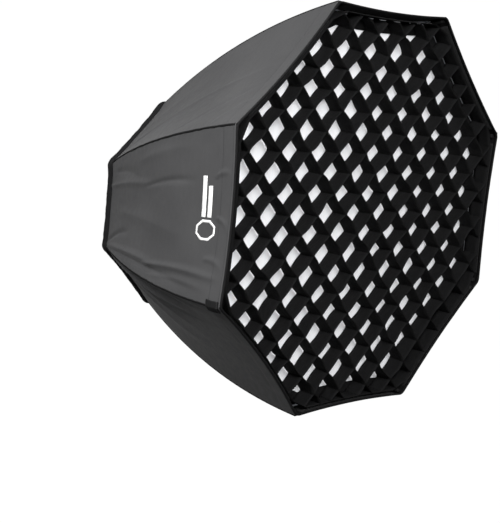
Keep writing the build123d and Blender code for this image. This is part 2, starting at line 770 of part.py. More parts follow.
def build_baffle_ties():
    """Elastic straps from the inner diffuser's corners to the rods."""
    with BuildPart() as baffle_ties:
        for number in range(1, SIDES + 1):
            start = on_plane(front_plane(BAFFLE_DISTANCE), BAFFLE_RADIUS + TIE_GAP, corner_angle(number))
            end = tie_plane(number).origin
            along = end - start
            side_way = front_plane(0).z_dir.cross(along)
            with BuildSketch(Plane(origin=start, x_dir=side_way, z_dir=along)):
                Rectangle(*TIE_SIZE)
            extrude(amount=along.length - TIE_END_GAP)
    save(baffle_ties, "baffle_ties")


build_mount_insert()
build_ring_plate()
build_insert_clips()
build_clip_screws()
build_lock_screw(-1, "lock_screw_left")
build_lock_screw(1, "lock_screw_right")
build_rod_ferrules()
build_rod_tip_caps()
build_corner_pockets()
for corner in range(1, SIDES + 1):
    build_rod(corner)
    build_side_panel(corner)
    build_back_panel(corner)
build_seam_bindings()
build_back_seams()
build_rim_binding()
build_front_hem()
build_lip_loop_tape()
build_rear_cuff()
build_pull_tab()
for vented_side, flap_name in zip(VENTED_SIDES, ("vent_flap", "access_flap")):
    build_flap(vented_side, flap_name)
    build_flap_tape(vented_side, f"{flap_name}_tape")
build_printed_mark()
build_front_diffuser()
build_diffuser_edge_tape()
build_diffuser_border()
build_grid_strips(45, True, "grid_strips_rising")
build_grid_strips(-45, False, "grid_strips_falling")
build_grid_band()
build_grid_hook_tape()
build_baffle_cloth()
build_baffle_hem()
build_tie_loops()
build_baffle_ties()
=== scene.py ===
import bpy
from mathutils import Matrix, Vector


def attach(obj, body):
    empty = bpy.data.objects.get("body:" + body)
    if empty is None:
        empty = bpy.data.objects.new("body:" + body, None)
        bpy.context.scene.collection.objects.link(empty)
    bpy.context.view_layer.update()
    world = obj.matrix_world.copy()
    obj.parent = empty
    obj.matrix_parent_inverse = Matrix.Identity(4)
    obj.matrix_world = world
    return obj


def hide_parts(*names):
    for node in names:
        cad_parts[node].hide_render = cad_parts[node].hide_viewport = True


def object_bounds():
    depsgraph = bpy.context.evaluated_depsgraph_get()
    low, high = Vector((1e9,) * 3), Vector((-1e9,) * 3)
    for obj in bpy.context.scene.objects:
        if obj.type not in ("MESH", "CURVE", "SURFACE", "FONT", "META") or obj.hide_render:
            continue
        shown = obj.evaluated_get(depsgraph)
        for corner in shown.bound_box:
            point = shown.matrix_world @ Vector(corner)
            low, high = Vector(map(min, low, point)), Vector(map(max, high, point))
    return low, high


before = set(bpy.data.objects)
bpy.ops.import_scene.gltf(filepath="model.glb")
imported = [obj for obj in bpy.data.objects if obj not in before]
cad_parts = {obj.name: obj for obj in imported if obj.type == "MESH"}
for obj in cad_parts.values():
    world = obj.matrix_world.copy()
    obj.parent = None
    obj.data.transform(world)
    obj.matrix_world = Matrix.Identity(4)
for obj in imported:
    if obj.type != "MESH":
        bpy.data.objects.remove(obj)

"""Octabox: an eight-sided fabric light box with an egg-crate grid, dressed round its CAD frame.

Metres, in the row frame: the origin is the centre of the bayonet bore, +Y points back to the
flash head, the open front faces -Y and +Z is up. The cloth body leans, tipping forward at the top.
"""
import random
from math import atan2, cos, exp, hypot, pi, radians, sin, sqrt, tan

import bpy
from mathutils import Matrix, Vector, noise

# noise_vector is seeded from the clock unless a seed is set, and the grid would differ at each run
noise.seed_set(1794898062)

CAD_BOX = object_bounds()

# Driving sizes of the CAD model. Radii are measured to the corners of the octagon
FRONT_RADIUS = 0.475
RIM_RADIUS = 0.268
RIM_DISTANCE = 0.619
ROD_BOW = 0.031
LEAN = 6.8
SIDES = 8
HALF_SIDE = radians(180 / SIDES)
BACK_RING_RADIUS = 0.125
RIM_Y = -0.163
BACK_RING_Y = -0.034
FRONT_Y = RIM_Y - RIM_DISTANCE
GRID_APOTHEM = 0.424
GRID_CORNER_CUT = 0.028
GRID_DEPTH = 0.040
GRID_CELL = 0.062
GRID_COUNT = 6  # strips on each side of the middle one
DIFFUSER_DISTANCE = 0.044
DIFFUSER_APOTHEM = 0.427
DIFFUSER_CLEARANCE = 0.0016
BAFFLE_RADIUS = 0.300
BAFFLE_DISTANCE = 0.3095
ROD_INSET = 0.009
OPEN_SIDES = (1, 5)  # back panels with an opening: the top and the bottom one
VENT = (0.078, 0.060)
FLAP = (0.106, 0.090)
FLAP_LIFT = 0.0018  # the flap's outside above the back panel
FLAP_TAPE_LENGTH = 0.092
FLAP_TAPE_EDGES = (0.024, 0.041)  # measured up the flap from its middle

# Cloth
CLOTH = 0.0009  # thickness of the coated nylon
HOOK_TAPE_THICKNESS = 0.0010
STRIP = 0.0010  # thickness of the grid's strips
FRONT_SAG = {6: 0.012, 7: 0.010, 8: 0.010}  # sides that pull in most at the front edge
OTHER_FRONT_SAG = 0.007
BODY_SAG = 0.009
RIM_SAG = 0.004
HEM_STITCH = 0.006  # stitch lines, measured back from the front edge
TAPE_STITCH = 0.040


# ---------------------------------------------------------------- shared geometry


def smooth(low, high, value):
    """0 below low, 1 above high, and an S-curve between."""
    way = min(max((value - low) / (high - low), 0.0), 1.0)
    return way * way * (3 - 2 * way)


def spread(count, low, high):
    """Evenly spaced values from low to high, ends included."""
    return [low + (high - low) * step / (count - 1) for step in range(count)]


def chance(x, y, z):
    """Smooth noise between about -1 and 1, the same at each run."""
    return noise.noise(Vector((x, y, z)))


def round_turns(count):
    """Angles in equal steps round a circle."""
    return [2 * pi * step / count for step in range(count)]


def side_angle(side):
    """Angle of the middle of side 1 to 8: side 1 is on top, and side 7 is the left one."""
    return radians(90) - (side - 1) * 2 * HALF_SIDE


def corner_angle(corner):
    """Angle of corner 1 to 8. A side runs from the corner of its own number to the next."""
    return side_angle(corner) + HALF_SIDE


def section_point(y, lean, right, up):
    """Point on the section at y: right along X, and up in the plane tipped forward by lean degrees."""
    tip = radians(lean)
    return Vector((right, y - up * sin(tip), up * cos(tip)))


def front_point(distance, right, up, forward=0.0):
    """Point on the section at a distance behind the front, moved forward along its normal."""
    tip = radians(LEAN)
    point = section_point(FRONT_Y + distance, LEAN, right, up)
    return point + Vector((0, -cos(tip), -sin(tip))) * forward


def cloth_radius(distance):
    """Corner radius of the side panels at a distance behind the front."""
    way = distance / RIM_DISTANCE
    return FRONT_RADIUS + (RIM_RADIUS - FRONT_RADIUS) * way + 4 * ROD_BOW * way * (1 - way)


def front_sag(side):
    return FRONT_SAG.get(side, OTHER_FRONT_SAG)


def side_sag(side, distance):
    """How far the middle of a side panel pulls in between its rods."""
    way = min(max(distance / RIM_DISTANCE, 0.0), 1.0)
    return front_sag(side) * (1 - way) ** 2 + BODY_SAG * 4 * way * (1 - way) + RIM_SAG * way


def polar_frame(angle):
    """Outward and sideways directions of a side, in its section."""
    return (cos(angle), sin(angle)), (-sin(angle), cos(angle))


def sagged_side(side, apothem, half, across, sag):
    """Right and up of a point across one side, from -1 to 1, with the middle pulled in."""
    out, sideways = polar_frame(side_angle(side))
    reach = apothem - sag * (1 - across * across)
    return out[0] * reach + sideways[0] * across * half, out[1] * reach + sideways[1] * across * half


# Soft creases on the side panels: start and end as (distance behind the front, across), half width, height
CREASES = {
    7: [((0.60, 0.90), (0.26, 0.76), 0.007, 0.0074), ((0.34, 0.78), (0.01, 0.70), 0.006, 0.0068),
        ((0.60, 0.78), (0.46, 0.42), 0.006, -0.0054), ((0.60, -0.44), (0.30, -0.36), 0.008, 0.0050),
        ((0.36, -0.36), (0.13, -0.40), 0.006, -0.0042), ((0.06, -0.44), (0.005, -0.46), 0.005, 0.0034),
        ((0.050, 0.02), (0.004, 0.18), 0.005, 0.0040), ((0.52, 0.10), (0.16, 0.30), 0.020, 0.0034),
        ((0.57, -0.72), (0.40, -0.50), 0.010, -0.0042), ((0.40, -0.76), (0.12, -0.82), 0.014, 0.0020),
        ((0.60, 0.96), (0.10, 0.88), 0.007, -0.0056), ((0.08, 0.50), (0.01, 0.58), 0.006, 0.0030),
        ((0.30, 0.90), (0.06, 0.84), 0.006, 0.0036)],
    8: [((0.56, 0.62), (0.02, -0.10), 0.006, 0.0026), ((0.26, 0.86), (0.02, 0.18), 0.006, -0.0024),
        ((0.60, 0.20), (0.20, -0.52), 0.022, 0.0016), ((0.10, 0.94), (0.01, 0.46), 0.006, 0.0020)],
    6: [((0.60, -0.90), (0.10, -0.48), 0.009, 0.0078), ((0.60, -0.70), (0.22, -0.06), 0.011, 0.0062),
        ((0.56, -0.94), (0.08, -0.80), 0.007, -0.0054), ((0.60, 0.10), (0.22, 0.36), 0.016, 0.0032),
        ((0.50, -0.84), (0.14, -0.66), 0.007, -0.0048)],
}


def chance_creases(side):
    """A few creases that fan out from the rear corners of a panel."""
    draw = random.Random(40 + side)
    creases = []
    for edge in (-1, 1):
        for _ in range(3):
            start = (draw.uniform(0.52, 0.61), edge * draw.uniform(0.75, 0.97))
            end = (draw.uniform(0.06, 0.34), edge * draw.uniform(0.1, 0.85))
            creases.append((start, end, draw.uniform(0.009, 0.018), draw.choice((-1, 1)) * 0.0022))
    return creases


for quiet_side in (1, 2, 3, 4, 5):
    CREASES[quiet_side] = chance_creases(quiet_side)


def crease_height(crease, distance, sideways):
    """Height that one crease adds at a point of the flat panel, in metres."""
    start, end, width, height = crease
    half_start, half_end = (cloth_radius(point[0]) * sin(HALF_SIDE) for point in (start, end))
    first, last = Vector((start[0], start[1] * half_start)), Vector((end[0], end[1] * half_end))
    point, line = Vector((distance, sideways)), last - first
    way = (point - first).dot(line) / line.length_squared
    if way < -0.15 or way > 1.15:
        return 0.0
    bend = 0.007 * sin(pi * min(max(way, 0.0), 1.0))
    off = (point - first).cross(line.normalized()) + bend
    fade = smooth(-0.12, 0.10, way) * (1 - smooth(0.55, 1.12, way))
    widened = width * (0.6 + 0.9 * way)
    sharp = 0.65 * exp(-(off / widened) ** 2) + 0.35 * exp(-abs(off) / (widened * 0.55))
    return height * fade * sharp


def side_relief(side, distance, across):
    """Height of the cloth above its smooth sagged surface: creases, slack and the taped hem."""
    half = cloth_radius(distance) * sin(HALF_SIDE)
    sideways = across * half
    height = sum(crease_height(crease, distance, sideways) for crease in CREASES[side])
    slack = chance(sideways * 9 + side * 7, distance * 4.5, side * 3.1)
    ripple = chance(sideways * 34, distance * 13 + side * 5, side * 1.7)
    height += 0.0024 * slack + 0.0003 * ripple
    height *= smooth(0.0, 0.030, half - abs(sideways))
    from_seam = half - abs(sideways)
    pucker = sin(distance * 2 * pi / 0.026 + 2.2 * chance(distance * 20, side, across))
    height += 0.00035 * pucker * exp(-from_seam / 0.010) * smooth(0.0, 0.003, from_seam)
    height *= smooth(0.0, 0.05, distance) * 0.75 + 0.25
    height -= 0.0007 * exp(-((distance - TAPE_STITCH) / 0.0035) ** 2)
    return height


def side_surface(side, distance, across, lift=0.0):
    """Point on the outside of a side panel, lifted off the cloth along its normal."""

    def smooth_point(d, c):
        radius, sag = cloth_radius(d), side_sag(side, d)
        right, up = sagged_side(side, radius * cos(HALF_SIDE), radius * sin(HALF_SIDE), c, sag)
        return front_point(d, right, up)

    step = 1e-3
    point = smooth_point(distance, across)
    along = smooth_point(distance + step, across) - point
    over = smooth_point(distance, across + step) - point
    outward = along.cross(over).normalized()
    axis_way = Vector((point.x, 0, point.z))
    if outward.dot(axis_way) < 0:
        outward.negate()
    return point + outward * (side_relief(side, distance, across) + lift)


def back_shape(way):
    """Y, lean and corner radius of the back, from 0 at the rim to 1 at the cuff."""
    y = RIM_Y + (BACK_RING_Y - RIM_Y) * way
    return y, LEAN * (1 - way), RIM_RADIUS + (BACK_RING_RADIUS - RIM_RADIUS) * way


def back_surface(side, way, across, lift=0.0):
    """Point on the outside of a back panel: slack cloth, gathered where it meets the cuff."""
    y, lean, radius = back_shape(way)
    slack = 0.0015 if side in OPEN_SIDES else 0.006
    sag = slack * 4 * way * (1 - way) + RIM_SAG * (1 - way) ** 2
    gather = 0.0016 * smooth(0.7, 1.0, way) * sin(across * pi * 3.5 + side)
    wave = 0.0016 * chance(across * 2.2, way * 2.4, side * 4.4) * (1 - across ** 2)
    right, up = sagged_side(side, radius * cos(HALF_SIDE), radius * sin(HALF_SIDE), across, sag)
    out, _ = polar_frame(side_angle(side))
    off_way = radians(48)
    raised = lift + gather * (1 - across ** 2) + wave
    up += out[1] * raised * cos(off_way)
    right += out[0] * raised * cos(off_way)
    return section_point(y, lean, right, up) + Vector((0, raised * sin(off_way), 0))


# ---------------------------------------------------------------- mesh making


def add_object(mesh, *materials):
    """Link a mesh as a smooth-shaded object with its materials."""
    for polygon in mesh.polygons:
        polygon.use_smooth = True
    for material in materials:
        mesh.materials.append(material)
    piece = bpy.data.objects.new(mesh.name, mesh)
    bpy.context.scene.collection.objects.link(piece)
    return piece


FIRST, LAST = 0, 1  # the end rows that can be capped


class MeshRows:
    """Collects rows of points as quads, with UVs in metres along the rows and across them."""

    def __init__(self):
        self.points, self.faces, self.uvs = [], [], []

    def add(self, rows, closed=False, capped=(), slide=(0.0, 0.0)):
        """Rows run across; closed joins each row's ends, and capped fills in end rows."""
        first, width = len(self.points), len(rows[0])
        self.points += [point for row in rows for point in row]
        middle = len(rows) // 2
        ring = list(range(width)) + ([0] if closed else [])
        across = [slide[0]]
        for here, after in zip(ring, ring[1:]):
            across.append(across[-1] + (rows[middle][after] - rows[middle][here]).length)
        along = [slide[1]]
        for before, row in zip(rows, rows[1:]):
            along.append(along[-1] + (row[width // 2] - before[width // 2]).length)
        for r in range(len(rows) - 1):
            for c in range(len(ring) - 1):
                here, there = ring[c], ring[c + 1]
                corners = ((r, here, c), (r, there, c + 1), (r + 1, there, c + 1), (r + 1, here, c))
                self.faces.append([first + row * width + column for row, column, _ in corners])
                self.uvs += [(across[place], along[row]) for row, _, place in corners]
        for end in capped:
            start = first + (len(rows) - 1) * width * end
            cap = list(range(start, start + width))
            self.faces.append(cap if end == LAST else cap[::-1])
            self.uvs += [(0.0, 0.0)] * width
        return self

    def mesh(self, name, centre=None):
        """Make the mesh; centre gives the point that each face should look away from."""
        mesh = bpy.data.meshes.new(name)
        mesh.from_pydata([tuple(point) for point in self.points], [], self.faces)
        layer = mesh.uv_layers.new(name="cloth")
        for loop, uv in zip(layer.data, self.uvs):
            loop.uv = uv
        mesh.validate()
        mesh.update()
        if centre:
            outward_normals(mesh, centre)
        return mesh


def outward_normals(mesh, centre):
    """Flip an open sheet if most of it faces its centre line."""
    facing = sum(polygon.area * polygon.normal.dot(polygon.center - centre(polygon.center))
                 for polygon in mesh.polygons)
    if facing < 0:
        mesh.flip_normals()


def on_axis(point):
    return Vector((0, point.y, 0))


def before_it(point):
    """Point on the axis well forward of a piece of the back."""
    return Vector((0, point.y - 0.3, 0))


def thicken(piece, thickness, lining, edge, offset):
    """Give a sheet its thickness, inward from its face at offset -1. lining and edge pick materials."""
    solid = piece.modifiers.new("thickness", "SOLIDIFY")
    solid.thickness = thickness
    solid.offset = offset
    solid.material_offset = lining
    solid.material_offset_rim = edge
    solid.use_quality_normals = True


def sweep(path, profile, frame_at, closed=True):
    """Rows of a profile of (out, along) offsets carried along a path."""
    rows = []
    for index, point in enumerate(path):
        out, along = frame_at(index)
        rows.append([point + out * x + along * y for x, y in profile])
    if closed:
        rows.append([corner.copy() for corner in rows[0]])
    return rows


def rounded_box(half_width, half_height, radius, steps=3):
    """Outline of a rectangle with rounded corners, anticlockwise."""
    outline = []
    for quarter in range(4):
        centre_x = (half_width - radius) * (1 if quarter in (0, 3) else -1)
        centre_y = (half_height - radius) * (1 if quarter in (0, 1) else -1)
        for step in range(steps + 1):
            angle = (quarter + step / steps) * pi / 2
            outline.append((centre_x + radius * cos(angle), centre_y + radius * sin(angle)))
    return outline


def add_piece(mesh, materials, body, slot, *nodes, thick=0.0, lining=0, edge=0, offset=-1.0, **sheet):
    """Add a mesh that rides on a body and stands for CAD nodes. sheet would describe a piece of cloth; it
    is not used.
    """
    piece = add_object(mesh, *materials)
    if thick:
        thicken(piece, thick, lining, edge, offset)
    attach(piece, body)
    if nodes:
        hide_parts(*nodes)
    return piece


# ---------------------------------------------------------------- materials


class Shader:
    """A node material with a Principled shader and short ways to add nodes to it."""

    def __init__(self, name, colour, roughness, **sockets):
        self.material = bpy.data.materials.new(name)
        self.material.use_nodes = True
        self.nodes, self.links = self.material.node_tree.nodes, self.material.node_tree.links
        self.principled = self.nodes["Principled BSDF"]
        self.principled.inputs["Base Color"].default_value = (*colour, 1)
        self.principled.inputs["Roughness"].default_value = roughness
        for socket, value in sockets.items():
            self.principled.inputs[socket.replace("_", " ")].default_value = value
        self.material.diffuse_color = (*colour, 1)

    def node(self, kind, settings=None, **inputs):
        made = self.nodes.new("ShaderNode" + kind)
        for key, value in (settings or {}).items():
            setattr(made, key, value)
        for key, value in inputs.items():
            self.feed(made.inputs[key.replace("_", " ")], value)
        return made

    def feed(self, socket, value):
        if isinstance(value, bpy.types.NodeSocket):
            self.links.new(value, socket)
        else:
            socket.default_value = value

    def math(self, operation, first, second=0.0, clamp=False):
        made = self.node("Math", {"operation": operation, "use_clamp": clamp})
        self.feed(made.inputs[0], first)
        self.feed(made.inputs[1], second)
        return made.outputs[0]

    def noise(self, place, scale, detail=2.0, roughness=0.5):
        made = self.node("TexNoise", Scale=scale, Detail=detail, Roughness=roughness)
        self.links.new(place, made.inputs["Vector"])
        return made.outputs["Fac"]

    def ramp(self, fac, low, high, from_low=0.3, from_high=0.7):
        """Map a factor to a value between low and high."""
        made = self.node("MapRange", {"clamp": True}, From_Min=from_low, From_Max=from_high,
                         To_Min=low, To_Max=high)
        self.links.new(fac, made.inputs["Value"])
        return made.outputs["Result"]

    def blend(self, fac, first, second, from_low=0.3, from_high=0.7):
        """Mix two colours by a factor read between two limits."""
        return self.mix(self.ramp(fac, 0, 1, from_low, from_high), first, second)

    def mix(self, fac, first, second):
        made = self.node("Mix", {"data_type": "RGBA"})
        self.feed(made.inputs[0], fac)
        self.feed(made.inputs[6], first if isinstance(first, bpy.types.NodeSocket) else (*first, 1))
        self.feed(made.inputs[7], second if isinstance(second, bpy.types.NodeSocket) else (*second, 1))
        return made.outputs[2]

    def uv(self):
        return self.node("UVMap", {"uv_map": "cloth"}).outputs["UV"]

    def place(self):
        return self.node("TexCoord").outputs["Object"]

    def stretched(self, place, x, y, z=1.0):
        mapping = self.node("Mapping")
        self.links.new(place, mapping.inputs["Vector"])
        mapping.inputs["Scale"].default_value = (x, y, z)
        return mapping.outputs["Vector"]

    def thread_wave(self, place, direction, pitch):
        """Ridges of thread along one direction, pitch metres apart."""
        made = self.node("TexWave", {"wave_type": "BANDS", "bands_direction": direction,
                                     "wave_profile": "SIN"})
        self.links.new(place, made.inputs["Vector"])
        made.inputs["Scale"].default_value = 0.314 / pitch
        return made.outputs["Fac"]

    def weave(self, place, pitch):
        """Plain weave height: warp and weft pass over and under each other."""
        warp, weft = self.thread_wave(place, "X", pitch), self.thread_wave(place, "Y", pitch)
        checks = self.node("TexChecker", Scale=1 / pitch)
        self.links.new(place, checks.inputs["Vector"])
        fac = checks.outputs["Fac"]
        over = self.math("MULTIPLY", warp, fac)
        under = self.math("MULTIPLY", weft, self.math("SUBTRACT", 1.0, fac))
        return self.math("ADD", over, under)

    def bump(self, height, strength, distance, after=None):
        made = self.node("Bump", Strength=strength, Distance=distance)
        self.links.new(height, made.inputs["Height"])
        if after is not None:
            self.links.new(after, made.inputs["Normal"])
        return made.outputs["Normal"]

    def set(self, socket, value):
        self.links.new(value, self.principled.inputs[socket])

    def finish(self, colour, roughness, normal):
        """Feed the three main sockets and return the material."""
        self.set("Base Color", colour)
        self.set("Roughness", roughness)
        self.set("Normal", normal)
        return self.material

    def stitches(self, place, lines, pitch=0.004, width=0.0009):
        """Mask of dashed stitch lines that run along U at the given V."""
        parts = self.node("SeparateXYZ")
        self.links.new(place, parts.inputs[0])
        phase = self.math("FRACT", self.math("DIVIDE", parts.outputs["X"], pitch))
        dash = self.math("LESS_THAN", phase, 0.7)
        total = None
        for line in lines:
            off = self.math("ABSOLUTE", self.math("SUBTRACT", parts.outputs["Y"], line))
            hit = self.math("MULTIPLY", self.math("LESS_THAN", off, width), dash)
            total = hit if total is None else self.math("MAXIMUM", total, hit)
        return total


def nylon_material(name="coated_nylon", stitch_lines=(HEM_STITCH, TAPE_STITCH)):
    """Coated black nylon: satin face, fine weave, soft crinkle and slightly faded patches."""
    shader = Shader(name, (0.030, 0.030, 0.031), 0.64, Sheen_Weight=0.05, Sheen_Roughness=0.4,
                    Specular_IOR_Level=0.32)
    place = shader.uv()
    weave = shader.weave(place, 0.0016)
    crinkle = shader.noise(place, 11, 2, 0.45)
    patches = shader.noise(place, 5.5, 3)
    base = shader.blend(patches, (0.027, 0.027, 0.028), (0.039, 0.039, 0.040))
    threads = shader.mix(shader.ramp(weave, 0.0, 0.30, 0.2, 0.9), base, (0.042, 0.042, 0.043))
    thread_line = shader.stitches(place, stitch_lines)
    stitched = shader.mix(thread_line, threads, (0.014, 0.014, 0.015))
    woven = shader.bump(weave, 0.10, 0.0003, shader.bump(crinkle, 0.20, 0.005))
    return shader.finish(stitched, shader.ramp(shader.noise(place, 60, 3), 0.58, 0.70),
                         shader.bump(thread_line, 0.5, 0.0006, woven))


def silver_material():
    """Silver lining: crinkled metallised cloth."""
    shader = Shader("silver_lining", (0.74, 0.75, 0.77), 0.36, Metallic=0.9)
    place = shader.uv()
    crinkle = shader.noise(place, 70, 4, 0.6)
    return shader.finish(shader.blend(crinkle, (0.66, 0.67, 0.69), (0.80, 0.81, 0.83)),
                         shader.ramp(shader.noise(place, 130, 2), 0.28, 0.46),
                         shader.bump(crinkle, 0.45, 0.003))


def binding_material(name="woven_binding", colour=(0.005, 0.005, 0.0052), pitch=0.0018, lines=()):
    """Matte woven tape with ribs across it and stitches along it."""
    shader = Shader(name, colour, 0.82, Specular_IOR_Level=0.10)
    place = shader.uv()
    ribs = shader.weave(place, pitch)
    wear = shader.noise(place, 45, 3)
    lighter = tuple(channel * 1.7 + 0.002 for channel in colour)
    shade = shader.mix(shader.ramp(ribs, 0.0, 0.5, 0.2, 0.9), colour, lighter)
    worn = shader.mix(shader.ramp(wear, 0.0, 0.35, 0.5, 0.8), shade, lighter)
    if lines:
        thread_line = shader.stitches(place, lines)
        worn = shader.mix(thread_line, worn, tuple(channel * 2 for channel in lighter))
    return shader.finish(worn, shader.ramp(wear, 0.70, 0.88), shader.bump(ribs, 0.55, 0.0006))


def hook_tape_material():
    """Hook-and-loop tape: a dense matte field of small hooks."""
    shader = Shader("hook_tape", (0.012, 0.012, 0.0125), 0.94, Sheen_Weight=0.06, Sheen_Roughness=0.6,
                    Specular_IOR_Level=0.15)
    place = shader.uv()
    hooks = shader.node("TexVoronoi", Scale=620.0)
    shader.links.new(place, hooks.inputs["Vector"])
    spots = hooks.outputs["Distance"]
    return shader.finish(shader.blend(spots, (0.018, 0.018, 0.019), (0.007, 0.007, 0.007), 0.1, 0.7),
                         shader.ramp(spots, 0.82, 0.97, 0.1, 0.7), shader.bump(spots, 0.8, 0.0010))


def grid_material():
    """Black grid cloth: thin, matte, with a plain weave and creased edges."""
    shader = Shader("grid_cloth", (0.007, 0.007, 0.0072), 0.92, Specular_IOR_Level=0.10)
    place = shader.uv()
    weave = shader.weave(place, 0.0015)
    folds = shader.noise(shader.stretched(place, 1.0, 2.5), 34, 3)
    base = shader.blend(folds, (0.0045, 0.0045, 0.0047), (0.0085, 0.0085, 0.0088))
    shader.set("Base Color", shader.mix(shader.ramp(weave, 0, 0.5, 0.2, 0.9), base, (0.013, 0.013, 0.0135)))
    shader.set("Roughness", shader.ramp(folds, 0.84, 0.95))
    soft = shader.bump(folds, 0.5, 0.004)
    shader.set("Normal", shader.bump(weave, 0.4, 0.0005, soft))
    return shader.material


def white_cloth_material(name, painted_glow, lines=()):
    """White diffusion cloth: plain weave with thin and thick threads, and painted light: an emission that
    makes it glow with no lamp behind it.
    """
    shader = Shader(name, (0.86, 0.86, 0.87), 0.72, Sheen_Weight=0.15, Sheen_Roughness=0.5)
    place = shader.uv()
    weave = shader.weave(place, 0.0020)
    slubs = shader.noise(shader.stretched(place, 12.0, 1.0), 26, 3)
    clouds = shader.noise(place, 7, 2)
    base = shader.blend(clouds, (0.84, 0.84, 0.86), (0.90, 0.90, 0.91))
    threads = shader.mix(shader.ramp(weave, 0.0, 0.7, 0.1, 0.9), (0.70, 0.71, 0.73), base)
    shade = shader.mix(shader.ramp(slubs, 0.0, 0.4), threads, (0.93, 0.93, 0.94))
    if lines:
        shade = shader.mix(shader.stitches(place, lines), shade, (0.60, 0.60, 0.61))
    shader.set("Base Color", shade)
    # Painted glow: emission brightens the cloth, though no lamp shines through it
    shader.principled.inputs["Emission Color"].default_value = (0.95, 0.97, 1.0, 1)
    shader.principled.inputs["Emission Strength"].default_value = painted_glow
    shader.set("Roughness", shader.ramp(clouds, 0.66, 0.80))
    shader.set("Normal", shader.bump(weave, 0.35, 0.0005))
    return shader.material


def print_material():
    """White screen print: slightly glossy ink with the cloth's weave showing through."""
    shader = Shader("screen_print", (0.80, 0.80, 0.79), 0.48)
    place = shader.uv()
    weave = shader.weave(place, 0.0016)
    shade = shader.blend(shader.noise(place, 90, 3), (0.54, 0.54, 0.54), (0.68, 0.68, 0.67), 0.25, 0.5)
    return shader.finish(shade, shader.ramp(shader.noise(place, 50, 2), 0.42, 0.58),
                         shader.bump(weave, 0.25, 0.0004))


def painted_metal_material():
    """Black powder coat: fine orange peel, and rubbed where hands hold it."""
    shader = Shader("powder_coat", (0.022, 0.022, 0.023), 0.48, Specular_IOR_Level=0.5)
    place = shader.place()
    peel = shader.noise(place, 900, 2)
    rubbed = shader.noise(place, 22, 4, 0.6)
    return shader.finish(shader.blend(rubbed, (0.018, 0.018, 0.019), (0.045, 0.045, 0.046), 0.5, 0.8),
                         shader.ramp(rubbed, 0.54, 0.38, 0.4, 0.75), shader.bump(peel, 0.35, 0.0005))


def turned_metal_material(name, colour, roughness, ring_pitch):
    """Machined metal with fine turning marks round the mount's axis."""
    shader = Shader(name, colour, roughness, Metallic=1.0)
    place = shader.place()
    parts = shader.node("SeparateXYZ")
    shader.links.new(place, parts.inputs[0])
    square = shader.math("ADD", shader.math("MULTIPLY", parts.outputs["X"], parts.outputs["X"]),
                         shader.math("MULTIPLY", parts.outputs["Z"], parts.outputs["Z"]))
    rings = shader.math("SINE", shader.math("MULTIPLY", shader.math("SQRT", square), 2 * pi / ring_pitch))
    smudge = shader.noise(place, 35, 3)
    darker = tuple(channel * 0.82 for channel in colour)
    return shader.finish(shader.blend(smudge, darker, colour),
                         shader.ramp(smudge, roughness - 0.06, roughness + 0.12),
                         shader.bump(rings, 0.12, 0.0003))


def drawn_metal_material(name, colour, roughness):
    """Drawn or plated metal with fine scratches and slight staining."""
    shader = Shader(name, colour, roughness, Metallic=1.0)
    place = shader.place()
    scratches = shader.noise(shader.stretched(place, 40.0, 4.0, 40.0), 18, 3)
    stain = shader.noise(place, 60, 3)
    darker = tuple(channel * 0.75 for channel in colour)
    return shader.finish(shader.blend(stain, darker, colour),
                         shader.ramp(scratches, roughness - 0.05, roughness + 0.15),
                         shader.bump(scratches, 0.15, 0.0003))


def plastic_material():
    """Moulded black plastic with a fine spark-eroded grain."""
    shader = Shader("moulded_plastic", (0.020, 0.020, 0.021), 0.5)
    place = shader.place()
    grain = shader.noise(place, 1400, 2)
    handled = shader.noise(place, 70, 2)
    return shader.finish(shader.blend(handled, (0.016, 0.016, 0.017), (0.030, 0.030, 0.031)),
                         shader.ramp(handled, 0.42, 0.58), shader.bump(grain, 0.4, 0.0003))


NYLON = nylon_material()
BACK_NYLON = nylon_material("back_nylon", (0.005, 0.128))
FLAP_NYLON = nylon_material("flap_nylon", (0.004, 0.086))
SILVER = silver_material()
BINDING = binding_material()
SEAM_TAPE = binding_material("seam_tape", (0.003, 0.003, 0.0031), 0.0016)
WEBBING = binding_material("webbing", (0.006, 0.006, 0.0062), 0.0024, (0.004,))
ELASTIC = binding_material("elastic_cloth", (0.022, 0.022, 0.023), 0.0030)
HOOK_TAPE = hook_tape_material()
GRID_CLOTH = grid_material()
THREAD = binding_material("thread", (0.002, 0.002, 0.002), 0.0012)
# The front diffuser gets a painted glow (emission 0.20); the baffle and its hem get none
DIFFUSER_CLOTH = white_cloth_material("diffuser_cloth", 0.20)
BAFFLE_CLOTH = white_cloth_material("baffle_cloth", 0.0)
WHITE_HEM = white_cloth_material("white_hem", 0.0, (0.003, 0.010))
PRINT = print_material()


# ---------------------------------------------------------------- cloth body


def make_side_panels():
    """Eight tapered panels, each one curved sheet from the front hem to the rim."""
    width, narrow = (2 * radius * sin(HALF_SIDE) for radius in (FRONT_RADIUS, RIM_RADIUS))
    columns = 91
    distances = [RIM_DISTANCE * (step / 120) ** 1.04 for step in range(1, 120)]
    distances = [0.001] + distances + [RIM_DISTANCE - 0.003]
    lip_faces = (sum(distance < DIFFUSER_DISTANCE for distance in distances) - 1) * (columns - 1)
    for side in range(1, SIDES + 1):
        rows = [[side_surface(side, distance, across) for across in spread(columns, -1, 1)]
                for distance in distances]
        mesh = MeshRows().add(rows).mesh(f"side_panel_{side}_cloth", on_axis)
        for polygon in mesh.polygons[:lip_faces]:
            polygon.material_index = 2
        add_piece(mesh, [NYLON, SILVER, NYLON, BINDING], "box", "black_nylon", f"side_panel_{side}",
                  thick=CLOTH, lining=1, flat=(width, 0.66), held="stretched", rests_on=[f"rod_{side}"],
                  area=(width + narrow + 0.035) / 2 * 0.655)


